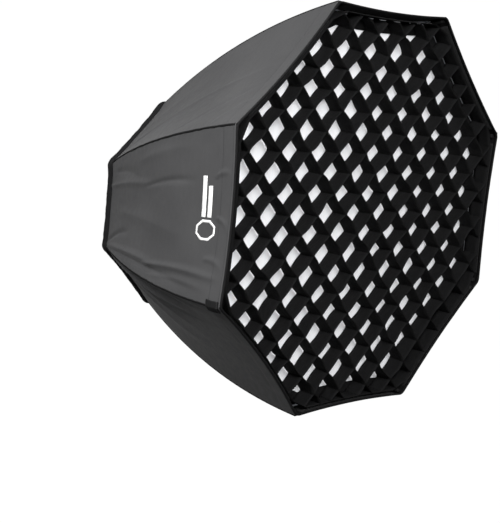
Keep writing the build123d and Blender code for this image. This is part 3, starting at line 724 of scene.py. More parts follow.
def loop_points(edge_point, per_side=34, round_off=0.030):
    """Closed loop round the eight sides with rounded corners. edge_point(side, across) gives its line."""
    loop = []
    reach = 1 - round_off * 2
    for side in range(1, SIDES + 1):
        after = side % SIDES + 1
        loop += [edge_point(side, across) for across in spread(per_side, reach, -reach)]
        start, end = edge_point(side, -reach), edge_point(after, reach)
        corner = (edge_point(side, -1.0) + edge_point(after, 1.0)) / 2
        for step in (1, 2, 3, 4):
            way = step / 5
            loop.append(start * (1 - way) ** 2 + corner * 2 * way * (1 - way) + end * way ** 2)
    return loop


def loop_frame(loop, forward):
    """Function that gives the outward and forward directions at each point of a closed loop."""

    def at(index):
        tangent = (loop[(index + 1) % len(loop)] - loop[index - 1]).normalized()
        out = tangent.cross(forward).normalized()
        if out.dot(Vector((loop[index].x, 0, loop[index].z))) < 0:
            out.negate()
        return out, forward

    return at


FORWARD = Vector((0, -cos(radians(LEAN)), -sin(radians(LEAN))))


def make_front_hem():
    """Folded hem round the front edge, following the sag of each side."""
    loop = loop_points(lambda side, across: side_surface(side, 0.0, across))
    profile = [(x - 0.0022, y + 0.0010) for x, y in rounded_box(0.0021, 0.0028, 0.0016)]
    at = loop_frame(loop, FORWARD)

    def puckered(index):
        out, forward = at(index)
        swell = 1 + 0.10 * noise.noise(loop[index] * 55)
        return out * swell, forward * swell

    mesh = MeshRows().add(sweep(loop, profile, puckered), closed=True).mesh("front_hem_fold")
    add_piece(mesh, [BINDING], "box", "black_binding", "front_hem")


def corner_line(corner, distance):
    """Point on the outside of the cloth at a corner."""
    radius, angle = cloth_radius(distance), corner_angle(corner)
    return front_point(distance, radius * cos(angle), radius * sin(angle))


SEAM_PROFILE = [(-0.0024, -0.0020), (-0.0024, -0.0007), (-0.0014, 0.0003), (0.0, 0.0007),
                (0.0014, 0.0003), (0.0024, -0.0007), (0.0024, -0.0020), (0.0, -0.0014)]


def make_seam_bindings():
    """Narrow bound seams that lie over the corners between the side panels."""
    strips = MeshRows()
    for corner in range(1, SIDES + 1):
        angle = corner_angle(corner)
        out = Vector((cos(angle), -sin(angle) * sin(radians(LEAN)), sin(angle) * cos(radians(LEAN))))
        sideways = Vector((-sin(angle), -cos(angle) * sin(radians(LEAN)), cos(angle) * cos(radians(LEAN))))
        rows = []
        for distance in spread(90, 0.003, RIM_DISTANCE - 0.004):
            wobble = 0.0006 * chance(distance * 40, corner * 3.3, 0)
            centre = corner_line(corner, distance) + sideways * wobble
            rows.append([centre + sideways * x + out * y for x, y in SEAM_PROFILE])
        strips.add(rows, closed=True, capped=(FIRST, LAST))
    add_piece(strips.mesh("seam_binding_strips"), [SEAM_TAPE], "box", "black_binding", "seam_bindings")


def make_rim_binding():
    """Rolled hem where the side panels meet the back, with small wrinkles round the roll."""
    radius = RIM_RADIUS + 0.001

    def rim_line(side, across):
        right, up = sagged_side(side, radius * cos(HALF_SIDE), radius * sin(HALF_SIDE), across, RIM_SAG)
        return front_point(RIM_DISTANCE, right, up)

    loop = loop_points(rim_line, per_side=40, round_off=0.045)
    at = loop_frame(loop, FORWARD)
    profile = [(0.0080 * cos(turn), 0.0098 * sin(turn)) for turn in round_turns(16)]

    def wrinkled(index):
        out, forward = at(index)
        swell = 1 + 0.16 * noise.noise(loop[index] * 38) + 0.07 * noise.noise(loop[index] * 120)
        return out * swell, forward * swell

    mesh = MeshRows().add(sweep(loop, profile, wrinkled), closed=True).mesh("rim_roll")
    add_piece(mesh, [BINDING], "box", "black_binding", "rim_binding")


def opening_outline(width, height, radius, count):
    """Points on a rounded rectangle by direction from its centre, and those directions."""
    box = rounded_box(width / 2, height / 2, radius, steps=6)
    outline = []
    for step in range(count):
        turn = 2 * pi * step / count
        way = (cos(turn), sin(turn))
        best = 0.0
        for (ax, ay), (bx, by) in zip(box, box[1:] + box[:1]):
            cross = way[0] * (by - ay) - way[1] * (bx - ax)
            if abs(cross) > 1e-12:
                reach = (ax * (by - ay) - ay * (bx - ax)) / cross
                share = (ax * way[1] - ay * way[0]) / cross
                if reach > 0 and -1e-9 <= share <= 1 + 1e-9:
                    best = max(best, reach)
        outline.append((way[0] * best, way[1] * best))
    return outline


BACK_START, BACK_END = 0.03, 1.0


def back_slope(side):
    """Length of a back panel along its middle, from the rim to the cuff."""
    out, _ = polar_frame(side_angle(side))
    rim, ring = (section_point(y, lean, radius * cos(HALF_SIDE) * out[0], radius * cos(HALF_SIDE) * out[1])
                 for y, lean, radius in (back_shape(0.0), back_shape(1.0)))
    return (ring - rim).length


def back_local(side, sideways, inward, lift=0.0):
    """Point on a back panel from metres sideways and metres inward of its middle."""
    way = 0.5 + inward / back_slope(side)
    half = back_shape(way)[2] * sin(HALF_SIDE)
    return back_surface(side, way, sideways / half, lift)


def make_back_panels():
    """Eight panels from the rim to the cuff. The top and bottom ones have hemmed openings."""
    wide, narrow = (2 * radius * sin(HALF_SIDE) for radius in (RIM_RADIUS, BACK_RING_RADIUS))
    for side in range(1, SIDES + 1):
        if side in OPEN_SIDES:
            rows = vented_rows(side)
        else:
            rows = [[back_surface(side, way, across) for across in spread(33, -1, 1)]
                    for way in spread(34, BACK_START, BACK_END)]
        mesh = MeshRows().add(rows, closed=side in OPEN_SIDES).mesh(f"back_panel_{side}_cloth", before_it)
        slope = back_slope(side) * 1.02
        hole = VENT[0] * VENT[1] if side in OPEN_SIDES else 0.0
        add_piece(mesh, [BACK_NYLON, SILVER], "box", "black_nylon", f"back_panel_{side}", thick=CLOTH,
                  lining=1, flat=(wide, slope), held="stretched", rests_on=["rim_binding"],
                  area=(wide + narrow) / 2 * slope - hole)


def vented_rows(side):
    """Rings of points from an opening's edge out to the edge of its panel."""
    count, slope = 112, back_slope(side)
    hole = opening_outline(*VENT, 0.008, count)
    low, high = (BACK_START - 0.5) * slope, (BACK_END - 0.5) * slope
    wide, narrow = (back_shape(way)[2] * sin(HALF_SIDE) for way in (BACK_START, BACK_END))
    edge = []
    for x, y in hole:
        turn = atan2(y, x)
        way = (cos(turn), sin(turn))
        reaches = []
        if abs(way[1]) > 1e-9:
            reaches.append((high if way[1] > 0 else low) / way[1])
        taper = (narrow - wide) / (high - low)
        middle = wide - taper * low
        denominator = abs(way[0]) - taper * way[1]
        if denominator > 1e-9:
            reaches.append(middle / denominator)
        reach = min(reach for reach in reaches if reach > 0)
        edge.append((way[0] * reach, way[1] * reach))
    rows = []
    for share in spread(16, 0, 1):
        rows.append([back_local(side, a[0] + (b[0] - a[0]) * share, a[1] + (b[1] - a[1]) * share)
                     for a, b in zip(hole, edge)])
    return rows


def make_opening_hems():
    """Bound edges of the two openings in the back."""
    hems = MeshRows()
    section = [(x, y - 0.0002) for x, y in rounded_box(0.0030, 0.0010, 0.0008)]
    for side in OPEN_SIDES:
        outline = opening_outline(*VENT, 0.008, 96)
        loop = [back_local(side, x, y, -0.0006) for x, y in outline]
        inner = [back_local(side, x * 0.95, y * 0.95, -0.0006) for x, y in outline]
        above = [back_local(side, x, y, 0.0014) for x, y in outline]
        rows = []
        for index in list(range(len(loop))) + [0]:
            out = (loop[index] - inner[index]).normalized()
            up = (above[index] - loop[index]).normalized()
            rows.append([loop[index] + out * x + up * y for x, y in section])
        hems.add(rows, closed=True)
    add_piece(hems.mesh("opening_hems"), [BINDING], "box", "black_binding")


def make_back_seams():
    """Bound seams between the back panels."""
    strips = MeshRows()
    tilt = radians(42)
    for corner in range(1, SIDES + 1):
        angle = corner_angle(corner)
        rows = []
        for way in spread(28, 0.02, 1.0):
            y, lean, radius = back_shape(way)
            here = section_point(y, lean, radius * cos(angle), radius * sin(angle))
            sideways = section_point(0, lean, -sin(angle), cos(angle))
            out = section_point(0, lean, cos(angle), sin(angle)) * cos(tilt) + Vector((0, sin(tilt), 0))
            rows.append([here + sideways * x * 0.9 + out * (y_off + 0.0003) for x, y_off in SEAM_PROFILE])
        strips.add(rows, closed=True, capped=(FIRST, LAST))
    add_piece(strips.mesh("back_seam_strips"), [SEAM_TAPE], "box", "black_binding", "back_seams")


# Cuff sections: radius and y, from the ring outward, then how far along the back and how far above it
CUFF_PROFILE = [(0.0923, -0.0146), (0.0924, -0.0128), (0.0932, -0.0113), (0.0950, -0.0104),
                (0.0975, -0.0100), (0.1000, -0.0116), (0.1030, -0.0158), (0.1065, -0.0205),
                (0.1100, -0.0252), (0.1130, -0.0292)]
CUFF_OVERLAP = [(1.0, 0.0022), (0.975, 0.0024), (0.95, 0.0014)]
CUFF_FOLDS = 44


def make_rear_cuff():
    """Elastic cuff: gathered round the speed ring, and sewn over the ends of the back panels."""
    rows = []
    turns = round_turns(CUFF_FOLDS * 8)
    for radius, y in CUFF_PROFILE:
        row = []
        loose = smooth(0.098, 0.108, radius) * 0.0016 + smooth(0.0925, 0.096, radius) * 0.0004
        under_screws = 0.0026 * smooth(0.096, 0.101, radius) * (1 - smooth(0.104, 0.112, radius))
        for turn in turns:
            drift = 0.8 * chance(cos(turn) * 3, sin(turn) * 3, 1.5)
            fold = loose * sin(turn * CUFF_FOLDS + 5 * drift) * (1 + 0.5 * drift)
            pressed = under_screws * exp(-(radius * sin(turn) / 0.013) ** 2)
            reach = radius + fold
            row.append(Vector((reach * cos(turn), y + fold * 0.8 - pressed, reach * sin(turn))))
        rows.append(row)
    for way, lift in CUFF_OVERLAP:
        row = []
        for turn in turns:
            side = min(range(1, SIDES + 1), key=lambda number: 1 - cos(turn - side_angle(number)))
            across = tan(turn - side_angle(side)) / tan(HALF_SIDE)
            row.append(back_surface(side, way, across, lift + 0.0004 * sin(turn * CUFF_FOLDS)))
        rows.append(row)
    mesh = MeshRows().add(rows, closed=True).mesh("rear_cuff_gathers", before_it)
    add_piece(mesh, [ELASTIC], "box", "elastic_cloth", "rear_cuff", thick=0.0009,
              flat=(2 * pi * 0.118, 0.040), held="gathered", rests_on=["ring_plate"])


def make_flaps():
    """Hemmed flaps over the openings, each with a hook tape along its free edge."""
    for side, body, name in ((1, "vent_flap_body", "vent_flap"), (5, "access_flap_body", "access_flap")):
        outline = opening_outline(*FLAP, 0.006, 120)
        rows = []
        for share in [0.02] + spread(14, 0.08, 1.0):
            hem = FLAP_LIFT + 0.0006 * smooth(0.86, 1.0, share)
            rows.append([back_local(side, x * share, y * share, hem) for x, y in outline])
        mesh = MeshRows().add(rows, closed=True, capped=(FIRST,)).mesh(f"{name}_cloth", before_it)
        flap_uv(mesh, side)
        piece = add_piece(mesh, [FLAP_NYLON], body, "black_nylon", name, thick=0.0011, flat=FLAP,
                          held="laid", rests_on=[f"back_panel_{side}"], area=FLAP[0] * FLAP[1] * 0.99)
        half, (low, high) = FLAP_TAPE_LENGTH / 2, FLAP_TAPE_EDGES
        tape_rows = [[back_local(side, x, y, FLAP_LIFT + 0.0012) for x in spread(40, -half, half)]
                     for y in spread(8, low, high)]
        tape = MeshRows().add(tape_rows).mesh(f"{name}_tape_strip", before_it)
        add_piece(tape, [HOOK_TAPE], body, "hook_tape", f"{name}_tape", thick=HOOK_TAPE_THICKNESS,
                  flat=(FLAP_TAPE_LENGTH, high - low), held="laid", rests_on=[piece])


def flap_uv(mesh, side):
    """Flat UVs for a flap, from its lower edge."""
    layer = mesh.uv_layers["cloth"]
    centre = back_local(side, 0, 0)
    across = (back_local(side, 0.01, 0) - centre).normalized()
    inward = (back_local(side, 0, 0.01) - centre).normalized()
    for loop, place in zip(mesh.loops, layer.data):
        offset = mesh.vertices[loop.vertex_index].co - centre
        place.uv = (offset.dot(across) + FLAP[0] / 2, offset.dot(inward) + FLAP[1] / 2)


MARK_SIDE = 7
MARK_LIFT = 0.0004
MARK_DISTANCE = 0.0877  # middle of the mark behind the front
MARK_OCTAGON = 0.030  # sideways place of the octagon
MARK_RINGS = ((0.0295, 0.0155), (0.03275, 0.01825), (0.036, 0.021))  # its half sizes, inside to outside
MARK_BARS = ((0.012, -0.038, 0.084), (-0.010, -0.028, 0.064))  # back and sideways place, then length
MARK_BAR_WIDTH = 0.015


def make_printed_mark():
    """Plain print on the left panel: an octagon outline below two bars."""
    mark = MeshRows()
    rings = []
    for length, width in MARK_RINGS:
        ring = []
        for turn in round_turns(64):
            wedge = (turn + HALF_SIDE) % (2 * HALF_SIDE) - HALF_SIDE
            back = MARK_DISTANCE + length * cos(turn) / cos(wedge)
            sideways = MARK_OCTAGON + width * sin(turn) / cos(wedge)
            half = cloth_radius(back) * sin(HALF_SIDE)
            ring.append(side_surface(MARK_SIDE, back, sideways / half, MARK_LIFT))
        rings.append(ring)
    mark.add(rings, closed=True)
    for back, centre, length in MARK_BARS:
        rows = []
        for v in spread(40, 0, 1):
            row = []
            for u in spread(6, 0, 1):
                distance = MARK_DISTANCE + back + (u - 0.5) * MARK_BAR_WIDTH
                half = cloth_radius(distance) * sin(HALF_SIDE)
                sideways = centre + (v - 0.5) * length
                row.append(side_surface(MARK_SIDE, distance, sideways / half, MARK_LIFT))
            rows.append(row)
        mark.add(rows)
    mesh = mark.mesh("printed_mark_ink", on_axis)
    add_piece(mesh, [PRINT], "box", "white_print", "printed_mark", thick=0.0002)


STRAP_START, STRAP_END = 0.004, 0.046
TAB_LOOP = [(-0.001, -0.0016), (0.004, -0.0017), (0.008, -0.0020), (0.0112, -0.0018), (0.0130, 0.0),
            (0.0112, 0.0018), (0.008, 0.0020), (0.004, 0.0017), (-0.001, 0.0016)]  # reach, opening


def make_corner_straps():
    """Webbing reinforcement over the lower left front corner, and the pull tab at the upper right one."""

    def out_of(corner):
        return (corner_line(corner, 0.01) - on_axis(corner_line(corner, 0.01))).normalized()

    out = out_of(7)
    sideways = FORWARD.cross(out).normalized()
    rows = []
    for distance in spread(18, STRAP_START, STRAP_END):
        centre = corner_line(7, distance)
        swell = 0.0016 + 0.0012 * sin(pi * (distance - STRAP_START) / (STRAP_END - STRAP_START))
        rows.append([centre + sideways * x + out * (swell - abs(x) * 0.42)
                     for x in spread(13, -0.013, 0.013)])
    strap = MeshRows().add(rows).mesh("corner_strap", on_axis)
    add_piece(strap, [WEBBING], "box", "black_webbing", thick=0.0016, flat=(0.028, 0.042),
              held="stretched", rests_on=["seam_binding_strips"])

    out = out_of(3)
    sideways = FORWARD.cross(out).normalized()
    start = corner_line(3, 0.011)
    rows = []
    for reach, open_by in TAB_LOOP:
        taper = 0.0070 - 0.0022 * smooth(0.004, 0.013, reach)
        middle = start + out * reach + sideways * open_by
        rows.append([middle + FORWARD * along for along in spread(8, -taper, taper)])
    tab = MeshRows().add(rows).mesh("pull_tab_loop")
    add_piece(tab, [WEBBING], "box", "black_webbing", "pull_tab", thick=0.0010, flat=(0.014, 0.030),
              held="folded", rests_on=["front_hem_fold"])


# ---------------------------------------------------------------- grid and diffusers


def cut_outline(apothem, sag_of):
    """Closed outline of (right, up) points: an octagon with cut corners whose sides sag inward."""
    half = apothem * sin(HALF_SIDE) / cos(HALF_SIDE)
    limit = 1 - GRID_CORNER_CUT / half
    outline = []
    for side in range(1, SIDES + 1):
        outline += [sagged_side(side, apothem, half, across, sag_of(side))
                    for across in spread(26, limit, -limit)]
    return outline


def inside_outline(right, up, apothem):
    """True if a point lies inside the grid's sagged octagon with cut corners."""
    half = apothem * sin(HALF_SIDE) / cos(HALF_SIDE)
    corner_reach = apothem / cos(HALF_SIDE) - GRID_CORNER_CUT * sin(HALF_SIDE)
    for side in range(1, SIDES + 1):
        out, sideways = polar_frame(side_angle(side))
        across = (right * sideways[0] + up * sideways[1]) / half
        if right * out[0] + up * out[1] > apothem - grid_sag(side) * max(0.0, 1 - across * across):
            return False
        corner = corner_angle(side)
        if right * cos(corner) + up * sin(corner) > corner_reach:
            return False
    return True


def grid_sag(side):
    return front_sag(side) * 0.8


def grid_point(right, up, depth):
    """Point in the grid at a depth behind its front."""
    return front_point(GRID_DEPTH / 2, right, up, GRID_DEPTH / 2 - depth)


RISING = ((-sqrt(0.5), sqrt(0.5)), (sqrt(0.5), sqrt(0.5)))  # step between strips, then direction along them


def crossing(rising, falling, depth):
    """Right and up of a sewn crossing, which wanders a little, most at the front."""
    loose = 0.0052 * (1 - 0.55 * depth / GRID_DEPTH)
    wander = noise.noise_vector(Vector((rising * 1.9 + 0.4, falling * 1.9 + 7.7, depth * 9)))
    right = GRID_CELL * (rising * RISING[0][0] + falling * RISING[1][0]) + wander.x * loose
    up = GRID_CELL * (rising * RISING[0][1] + falling * RISING[1][1]) + wander.y * loose
    droop = 0.008 * smooth(0.26, 0.37, up) * (1 - depth / GRID_DEPTH)
    return right, up - droop


def strip_line(family, number, depth, steps=9):
    """Right and up along a strip: slack cloth that bows a little between its crossings."""
    reach = GRID_COUNT + 2
    knots = []
    for other in range(-reach, reach + 1):
        pair = (number, other) if family == "rising" else (other, number)
        knots.append(crossing(*pair, depth))
    normal = RISING[0] if family == "rising" else RISING[1]
    line = []
    for index, (here, after) in enumerate(zip(knots, knots[1:])):
        seed = Vector((number * 3.7 + (0 if family == "rising" else 50), index * 2.3, depth * 14))
        bow = 0.0090 * noise.noise(seed) * (1 - 0.5 * depth / GRID_DEPTH)
        twist = 0.0036 * noise.noise(seed * 1.7)
        for step in range(steps):
            way = step / steps
            off = bow * sin(pi * way) + twist * sin(2 * pi * way)
            line.append((here[0] + (after[0] - here[0]) * way + normal[0] * off,
                         here[1] + (after[1] - here[1]) * way + normal[1] * off))
    return line


def clipped_strip(family, number, depths, apothem):
    """Columns of points along a strip, one row for each depth, ending at the band."""
    lines = [strip_line(family, number, depth) for depth in depths]
    kept = [index for index in range(len(lines[0]))
            if all(inside_outline(*line[index], apothem) for line in lines)]
    if len(kept) < 2:
        return None
    first, last = kept[0], kept[-1]
    rows = []
    for line, depth in zip(lines, depths):
        row = [line[index] for index in range(first, last + 1)]
        row.insert(0, run_to_band(line[first], line[first - 1], apothem))
        row.append(run_to_band(line[last], line[last + 1], apothem))
        rows.append([grid_point(right, up, depth) for right, up in row])
    return rows


def run_to_band(start, beyond, apothem):
    """Where a strip meets the band, found by halving."""
    low, high = 0.0, 1.0
    for _ in range(14):
        way = (low + high) / 2
        point = (start[0] + (beyond[0] - start[0]) * way, start[1] + (beyond[1] - start[1]) * way)
        low, high = (way, high) if inside_outline(*point, apothem) else (low, way)
    return point


def make_grid_strips():
    """Two families of cloth strips, sewn to each other where they cross."""
    for family, node in (("rising", "grid_strips_rising"), ("falling", "grid_strips_falling")):
        strips, length = MeshRows(), 0.0
        for number in range(-GRID_COUNT, GRID_COUNT + 1):
            rows = clipped_strip(family, number, spread(6, 0.0, GRID_DEPTH), GRID_APOTHEM - STRIP)
            if rows:
                strips.add(rows, slide=(0.0, number * 0.1))
                length += (rows[0][-1] - rows[0][0]).length
        mesh = strips.mesh(f"{node}_cloth")
        add_piece(mesh, [GRID_CLOTH, THREAD], "grid", "grid_cloth", node, thick=STRIP, edge=1, offset=0.0,
                  flat=(length, GRID_DEPTH), held="stretched", rests_on=["grid_band_cloth"])


def make_grid_stitching():
    """Lines of thread down the depth of the grid at each crossing."""
    threads = MeshRows()
    for rising in range(-GRID_COUNT, GRID_COUNT + 1):
        for falling in range(-GRID_COUNT, GRID_COUNT + 1):
            if not inside_outline(*crossing(rising, falling, 0.0), GRID_APOTHEM - 0.004):
                continue
            rows = []
            for step, depth in enumerate(spread(13, 0.0005, GRID_DEPTH - 0.0005)):
                centre = grid_point(*crossing(rising, falling, depth), depth)
                radius = 0.0030 + 0.0004 * (step % 2)
                rows.append([centre + Vector((radius * cos(turn), 0, radius * sin(turn)))
                             for turn in round_turns(6)])
            threads.add(rows, closed=True, capped=(FIRST, LAST))
    add_piece(threads.mesh("grid_stitching"), [THREAD], "grid", "grid_cloth")


def make_grid_band():
    """Band round the grid, and the hook tape outside it that grips the lip."""
    outline = cut_outline(GRID_APOTHEM, grid_sag)
    rows = [[grid_point(right, up, depth) for right, up in outline] for depth in spread(5, 0.0, GRID_DEPTH)]
    length = sum((a - b).length for a, b in zip(rows[0], rows[0][1:] + rows[0][:1]))
    mesh = MeshRows().add(rows, closed=True).mesh("grid_band_cloth", on_axis)
    add_piece(mesh, [GRID_CLOTH, THREAD], "grid", "grid_cloth", "grid_band", thick=STRIP, edge=1,
              flat=(length, GRID_DEPTH), held="stretched", rests_on=["lip_tape"])
    tapes = MeshRows()
    total = 0.0
    for side in range(1, SIDES + 1):
        apothem = GRID_APOTHEM + 0.0015
        half = apothem * sin(HALF_SIDE) / cos(HALF_SIDE)
        rows = [[grid_point(*sagged_side(side, apothem, half, across, grid_sag(side)), depth)
                 for across in spread(30, -0.80, 0.80)] for depth in spread(5, 0.008, 0.036)]
        tapes.add(rows)
        total += (rows[0][-1] - rows[0][0]).length
    mesh = tapes.mesh("grid_hook_strips", on_axis)
    add_piece(mesh, [HOOK_TAPE], "grid", "hook_tape", "grid_hook_tape", thick=0.0011, flat=(total, 0.028),
              held="stretched", rests_on=["grid_band_cloth"])


def make_lip_tape():
    """Loop tape inside the lip of each side panel."""
    tapes = MeshRows()
    total = 0.0
    for side in range(1, SIDES + 1):
        rows = [[side_surface(side, distance, across, -CLOTH - 0.0005)
                 for across in spread(34, -0.88, 0.88)] for distance in spread(7, 0.005, 0.039)]
        tapes.add(rows)
        total += (rows[3][-1] - rows[3][0]).length
    mesh = tapes.mesh("lip_tape", on_axis)
    add_piece(mesh, [HOOK_TAPE], "box", "hook_tape", "lip_loop_tape", thick=0.0013, flat=(total, 0.034),
              held="stretched", rests_on=["front_hem_fold"])


def diffuser_sag(side):
    """How far the diffuser's edge pulls in, with enough extra to stay clear of the creased lip."""
    return front_sag(side) * 0.7 + DIFFUSER_CLEARANCE


def make_front_diffuser():
    """White cloth across the front, pulled tight from its edge tape with faint tension ripples."""
    outline = cut_outline(DIFFUSER_APOTHEM, diffuser_sag)
    rows = []
    for share in [0.015] + spread(40, 0.04, 1.0):
        row = []
        for right, up in outline:
            turn = atan2(up, right)
            ripple = 0.0012 * sin(turn * 40 + 3 * chance(cos(turn) * 2, sin(turn) * 2, 0)) * share ** 6
            belly = 0.0030 * chance(right * share * 4, up * share * 4, 2.0) * (1 - share ** 4)
            distance = DIFFUSER_DISTANCE + 0.0016 - ripple * (1 - share) * 6
            row.append(front_point(distance, right * share, up * share, belly - 0.0016 * (1 - share)))
        rows.append(row)
    mesh = MeshRows().add(rows, closed=True, capped=(FIRST,)).mesh("front_diffuser_cloth")
    flat_uv(mesh)
    face_forward(mesh)
    piece = add_piece(mesh, [DIFFUSER_CLOTH], "diffuser", "white_cloth", "front_diffuser", thick=0.0008,
                      flat=(2 * DIFFUSER_APOTHEM, 2 * DIFFUSER_APOTHEM), held="stretched",
                      rests_on=["diffuser_tape"], area=sheet_area(mesh))
    tape_rows = []
    for inset in spread(5, 0.022, 0.001):
        tape_rows.append([front_point(DIFFUSER_DISTANCE + 0.0032, right, up)
                          for right, up in cut_outline(DIFFUSER_APOTHEM - inset, diffuser_sag)])
    tape = MeshRows().add(tape_rows, closed=True).mesh("diffuser_tape")
    length = sum((a - b).length for a, b in zip(tape_rows[2], tape_rows[2][1:]))
    add_piece(tape, [HOOK_TAPE], "diffuser", "hook_tape", "diffuser_edge_tape", thick=HOOK_TAPE_THICKNESS,
              flat=(length, 0.021), held="stretched", rests_on=[piece])
    border_rows = []
    for inset in spread(6, 0.028, 0.001):
        lift = 0.0010 + 0.0007 * sin(pi * (inset - 0.001) / 0.027)
        border_rows.append([front_point(DIFFUSER_DISTANCE + 0.0016, right, up, 0.0016 + lift)
                            for right, up in cut_outline(DIFFUSER_APOTHEM - inset, diffuser_sag)])
    border = MeshRows().add(border_rows, closed=True).mesh("diffuser_border_band")
    face_forward(border)
    add_piece(border, [GRID_CLOTH], "diffuser", "black_binding", "diffuser_border", thick=0.0008,
              flat=(length, 0.027), held="stretched", rests_on=[piece])


def flat_uv(mesh):
    """UVs that lie flat across the front."""
    layer = mesh.uv_layers["cloth"]
    for loop, place in zip(mesh.loops, layer.data):
        point = mesh.vertices[loop.vertex_index].co
        place.uv = (point.x, point.z / cos(radians(LEAN)))


def face_forward(mesh):
    """Turn a flat sheet's face to the front."""
    if sum(polygon.normal.dot(FORWARD) * polygon.area for polygon in mesh.polygons) < 0:
        mesh.flip_normals()


def sheet_area(mesh):
    return sum(polygon.area for polygon in mesh.polygons)


# Hem of the baffle: how far inside its edge, and how far forward of its middle
BAFFLE_HEM = [(0.0130, 0.0004), (0.0125, 0.0012), (0.0060, 0.0014), (0.0008, 0.0010), (0.0, 0.0),
              (0.0008, -0.0010), (0.0060, -0.0014), (0.0125, -0.0012), (0.0130, -0.0004)]


def make_baffle():
    """Inner diffuser with its doubled hem, elastic ties and the loops on the rods."""
    angles = [corner_angle(corner) for corner in range(1, SIDES + 1)]

    def baffle_row(radius, count=14):
        row = []
        for start, end in zip(angles, angles[1:] + angles[:1]):
            for step in range(count):
                way = step / count
                pull = 0.010 * (1 - (2 * way - 1) ** 2) * radius / BAFFLE_RADIUS
                right = radius * (cos(start) * (1 - way) + cos(end) * way)
                up = radius * (sin(start) * (1 - way) + sin(end) * way)
                reach = hypot(right, up)
                row.append((right * (1 - pull / reach), up * (1 - pull / reach)))
        return row

    rows = []
    for share in [0.02] + spread(26, 0.06, 1.0):
        row = baffle_row((BAFFLE_RADIUS - 0.012) * share)
        rows.append([front_point(BAFFLE_DISTANCE, right, up, 0.004 * chance(right * 5, up * 5, 9))
                     for right, up in row])
    mesh = MeshRows().add(rows, closed=True, capped=(FIRST,)).mesh("baffle_sheet")
    flat_uv(mesh)
    face_forward(mesh)
    width = 2 * (BAFFLE_RADIUS - 0.012) * cos(HALF_SIDE)
    add_piece(mesh, [BAFFLE_CLOTH], "box", "white_cloth", "baffle_cloth", thick=0.0006,
              flat=(width, width), held="stretched", rests_on=["baffle_hem_fold"], area=sheet_area(mesh))
    hem_rows = []
    for inset, forward in BAFFLE_HEM:
        row = baffle_row(BAFFLE_RADIUS - inset)
        hem_rows.append([front_point(BAFFLE_DISTANCE, right, up,
                                     forward + 0.004 * chance(right * 5, up * 5, 9)) for right, up in row])
    hem_rows.append([point.copy() for point in hem_rows[0]])
    add_piece(MeshRows().add(hem_rows, closed=True).mesh("baffle_hem_fold"), [WHITE_HEM], "box",
              "white_hem", "baffle_hem")
    make_baffle_ties(angles)


def rod_place(corner, distance):
    """Point on a rod's centre line."""
    radius = cloth_radius(distance) - ROD_INSET
    return front_point(distance, radius * cos(corner), radius * sin(corner))


ROD_LOOP = [(-0.0055, 0.0032), (-0.0050, 0.0041), (0.0, 0.0044), (0.0050, 0.0041), (0.0055, 0.0032)]


def make_baffle_ties(angles):
    """Flat elastic from each corner of the inner diffuser to a loop round its rod."""
    ties, loops = MeshRows(), MeshRows()
    start_radius = BAFFLE_RADIUS - 0.004
    for corner in angles:
        start = front_point(BAFFLE_DISTANCE, start_radius * cos(corner), start_radius * sin(corner))
        centre = rod_place(corner, BAFFLE_DISTANCE)
        along = centre - start
        sideways = FORWARD.cross(along).normalized()
        thick = along.cross(sideways).normalized()
        rows = []
        for way in spread(14, 0.0, 1.0):
            middle = start + along.normalized() * (along.length - 0.0040) * way
            width = 0.0058 - 0.0010 * sin(pi * way)
            rows.append([middle + sideways * x + thick * y
                         for x, y in rounded_box(width, 0.0008, 0.0007, 2)])
        ties.add(rows, closed=True, capped=(FIRST, LAST))
        before, after = (rod_place(corner, BAFFLE_DISTANCE + step) for step in (-0.01, 0.01))
        direction = (after - before).normalized()
        across = along.normalized()
        beside = direction.cross(across).normalized()
        rings = []
        for y, swell in ROD_LOOP:
            rings.append([centre + direction * y + across * swell * cos(turn) + beside * swell * sin(turn)
                          for turn in round_turns(16)])
        loops.add(rings, closed=True)
    add_piece(ties.mesh("baffle_tie_straps"), [ELASTIC], "box", "elastic_cloth", "baffle_ties")
    add_piece(loops.mesh("rod_tie_loops"), [WEBBING], "box", "black_webbing", "tie_loops")


# Pocket sections: how far back from the rod's tip, half width and half height
POCKET_SECTIONS = [(-0.0042, 0.0050, 0.0006), (-0.0034, 0.0052, 0.0018), (0.0, 0.0053, 0.0038),
                   (0.010, 0.0050, 0.0044), (0.022, 0.0049, 0.0044), (0.033, 0.0050, 0.0046),
                   (0.0345, 0.0046, 0.0042)]


def make_corner_pockets():
    """Sewn sleeves in the front corners that hold the rod tips, pinched shut at the front."""
    pockets = MeshRows()
    for corner in range(1, SIDES + 1):
        angle = corner_angle(corner)
        tip, before = rod_place(angle, 0.008), rod_place(angle, 0.050)
        along = (before - tip).normalized()
        sideways = along.cross(Vector((cos(angle), 0, sin(angle)))).normalized()
        out = sideways.cross(along).normalized()
        rows = []
        for back, wide, tall in POCKET_SECTIONS:
            rows.append([tip + along * back + sideways * wide * cos(turn) + out * tall * sin(turn)
                         for turn in round_turns(24)])
        pockets.add(rows, closed=True, capped=(FIRST,))
    add_piece(pockets.mesh("corner_pocket_sleeves"), [WEBBING], "box", "black_webbing", "corner_pockets")


# ---------------------------------------------------------------- metal and plastic


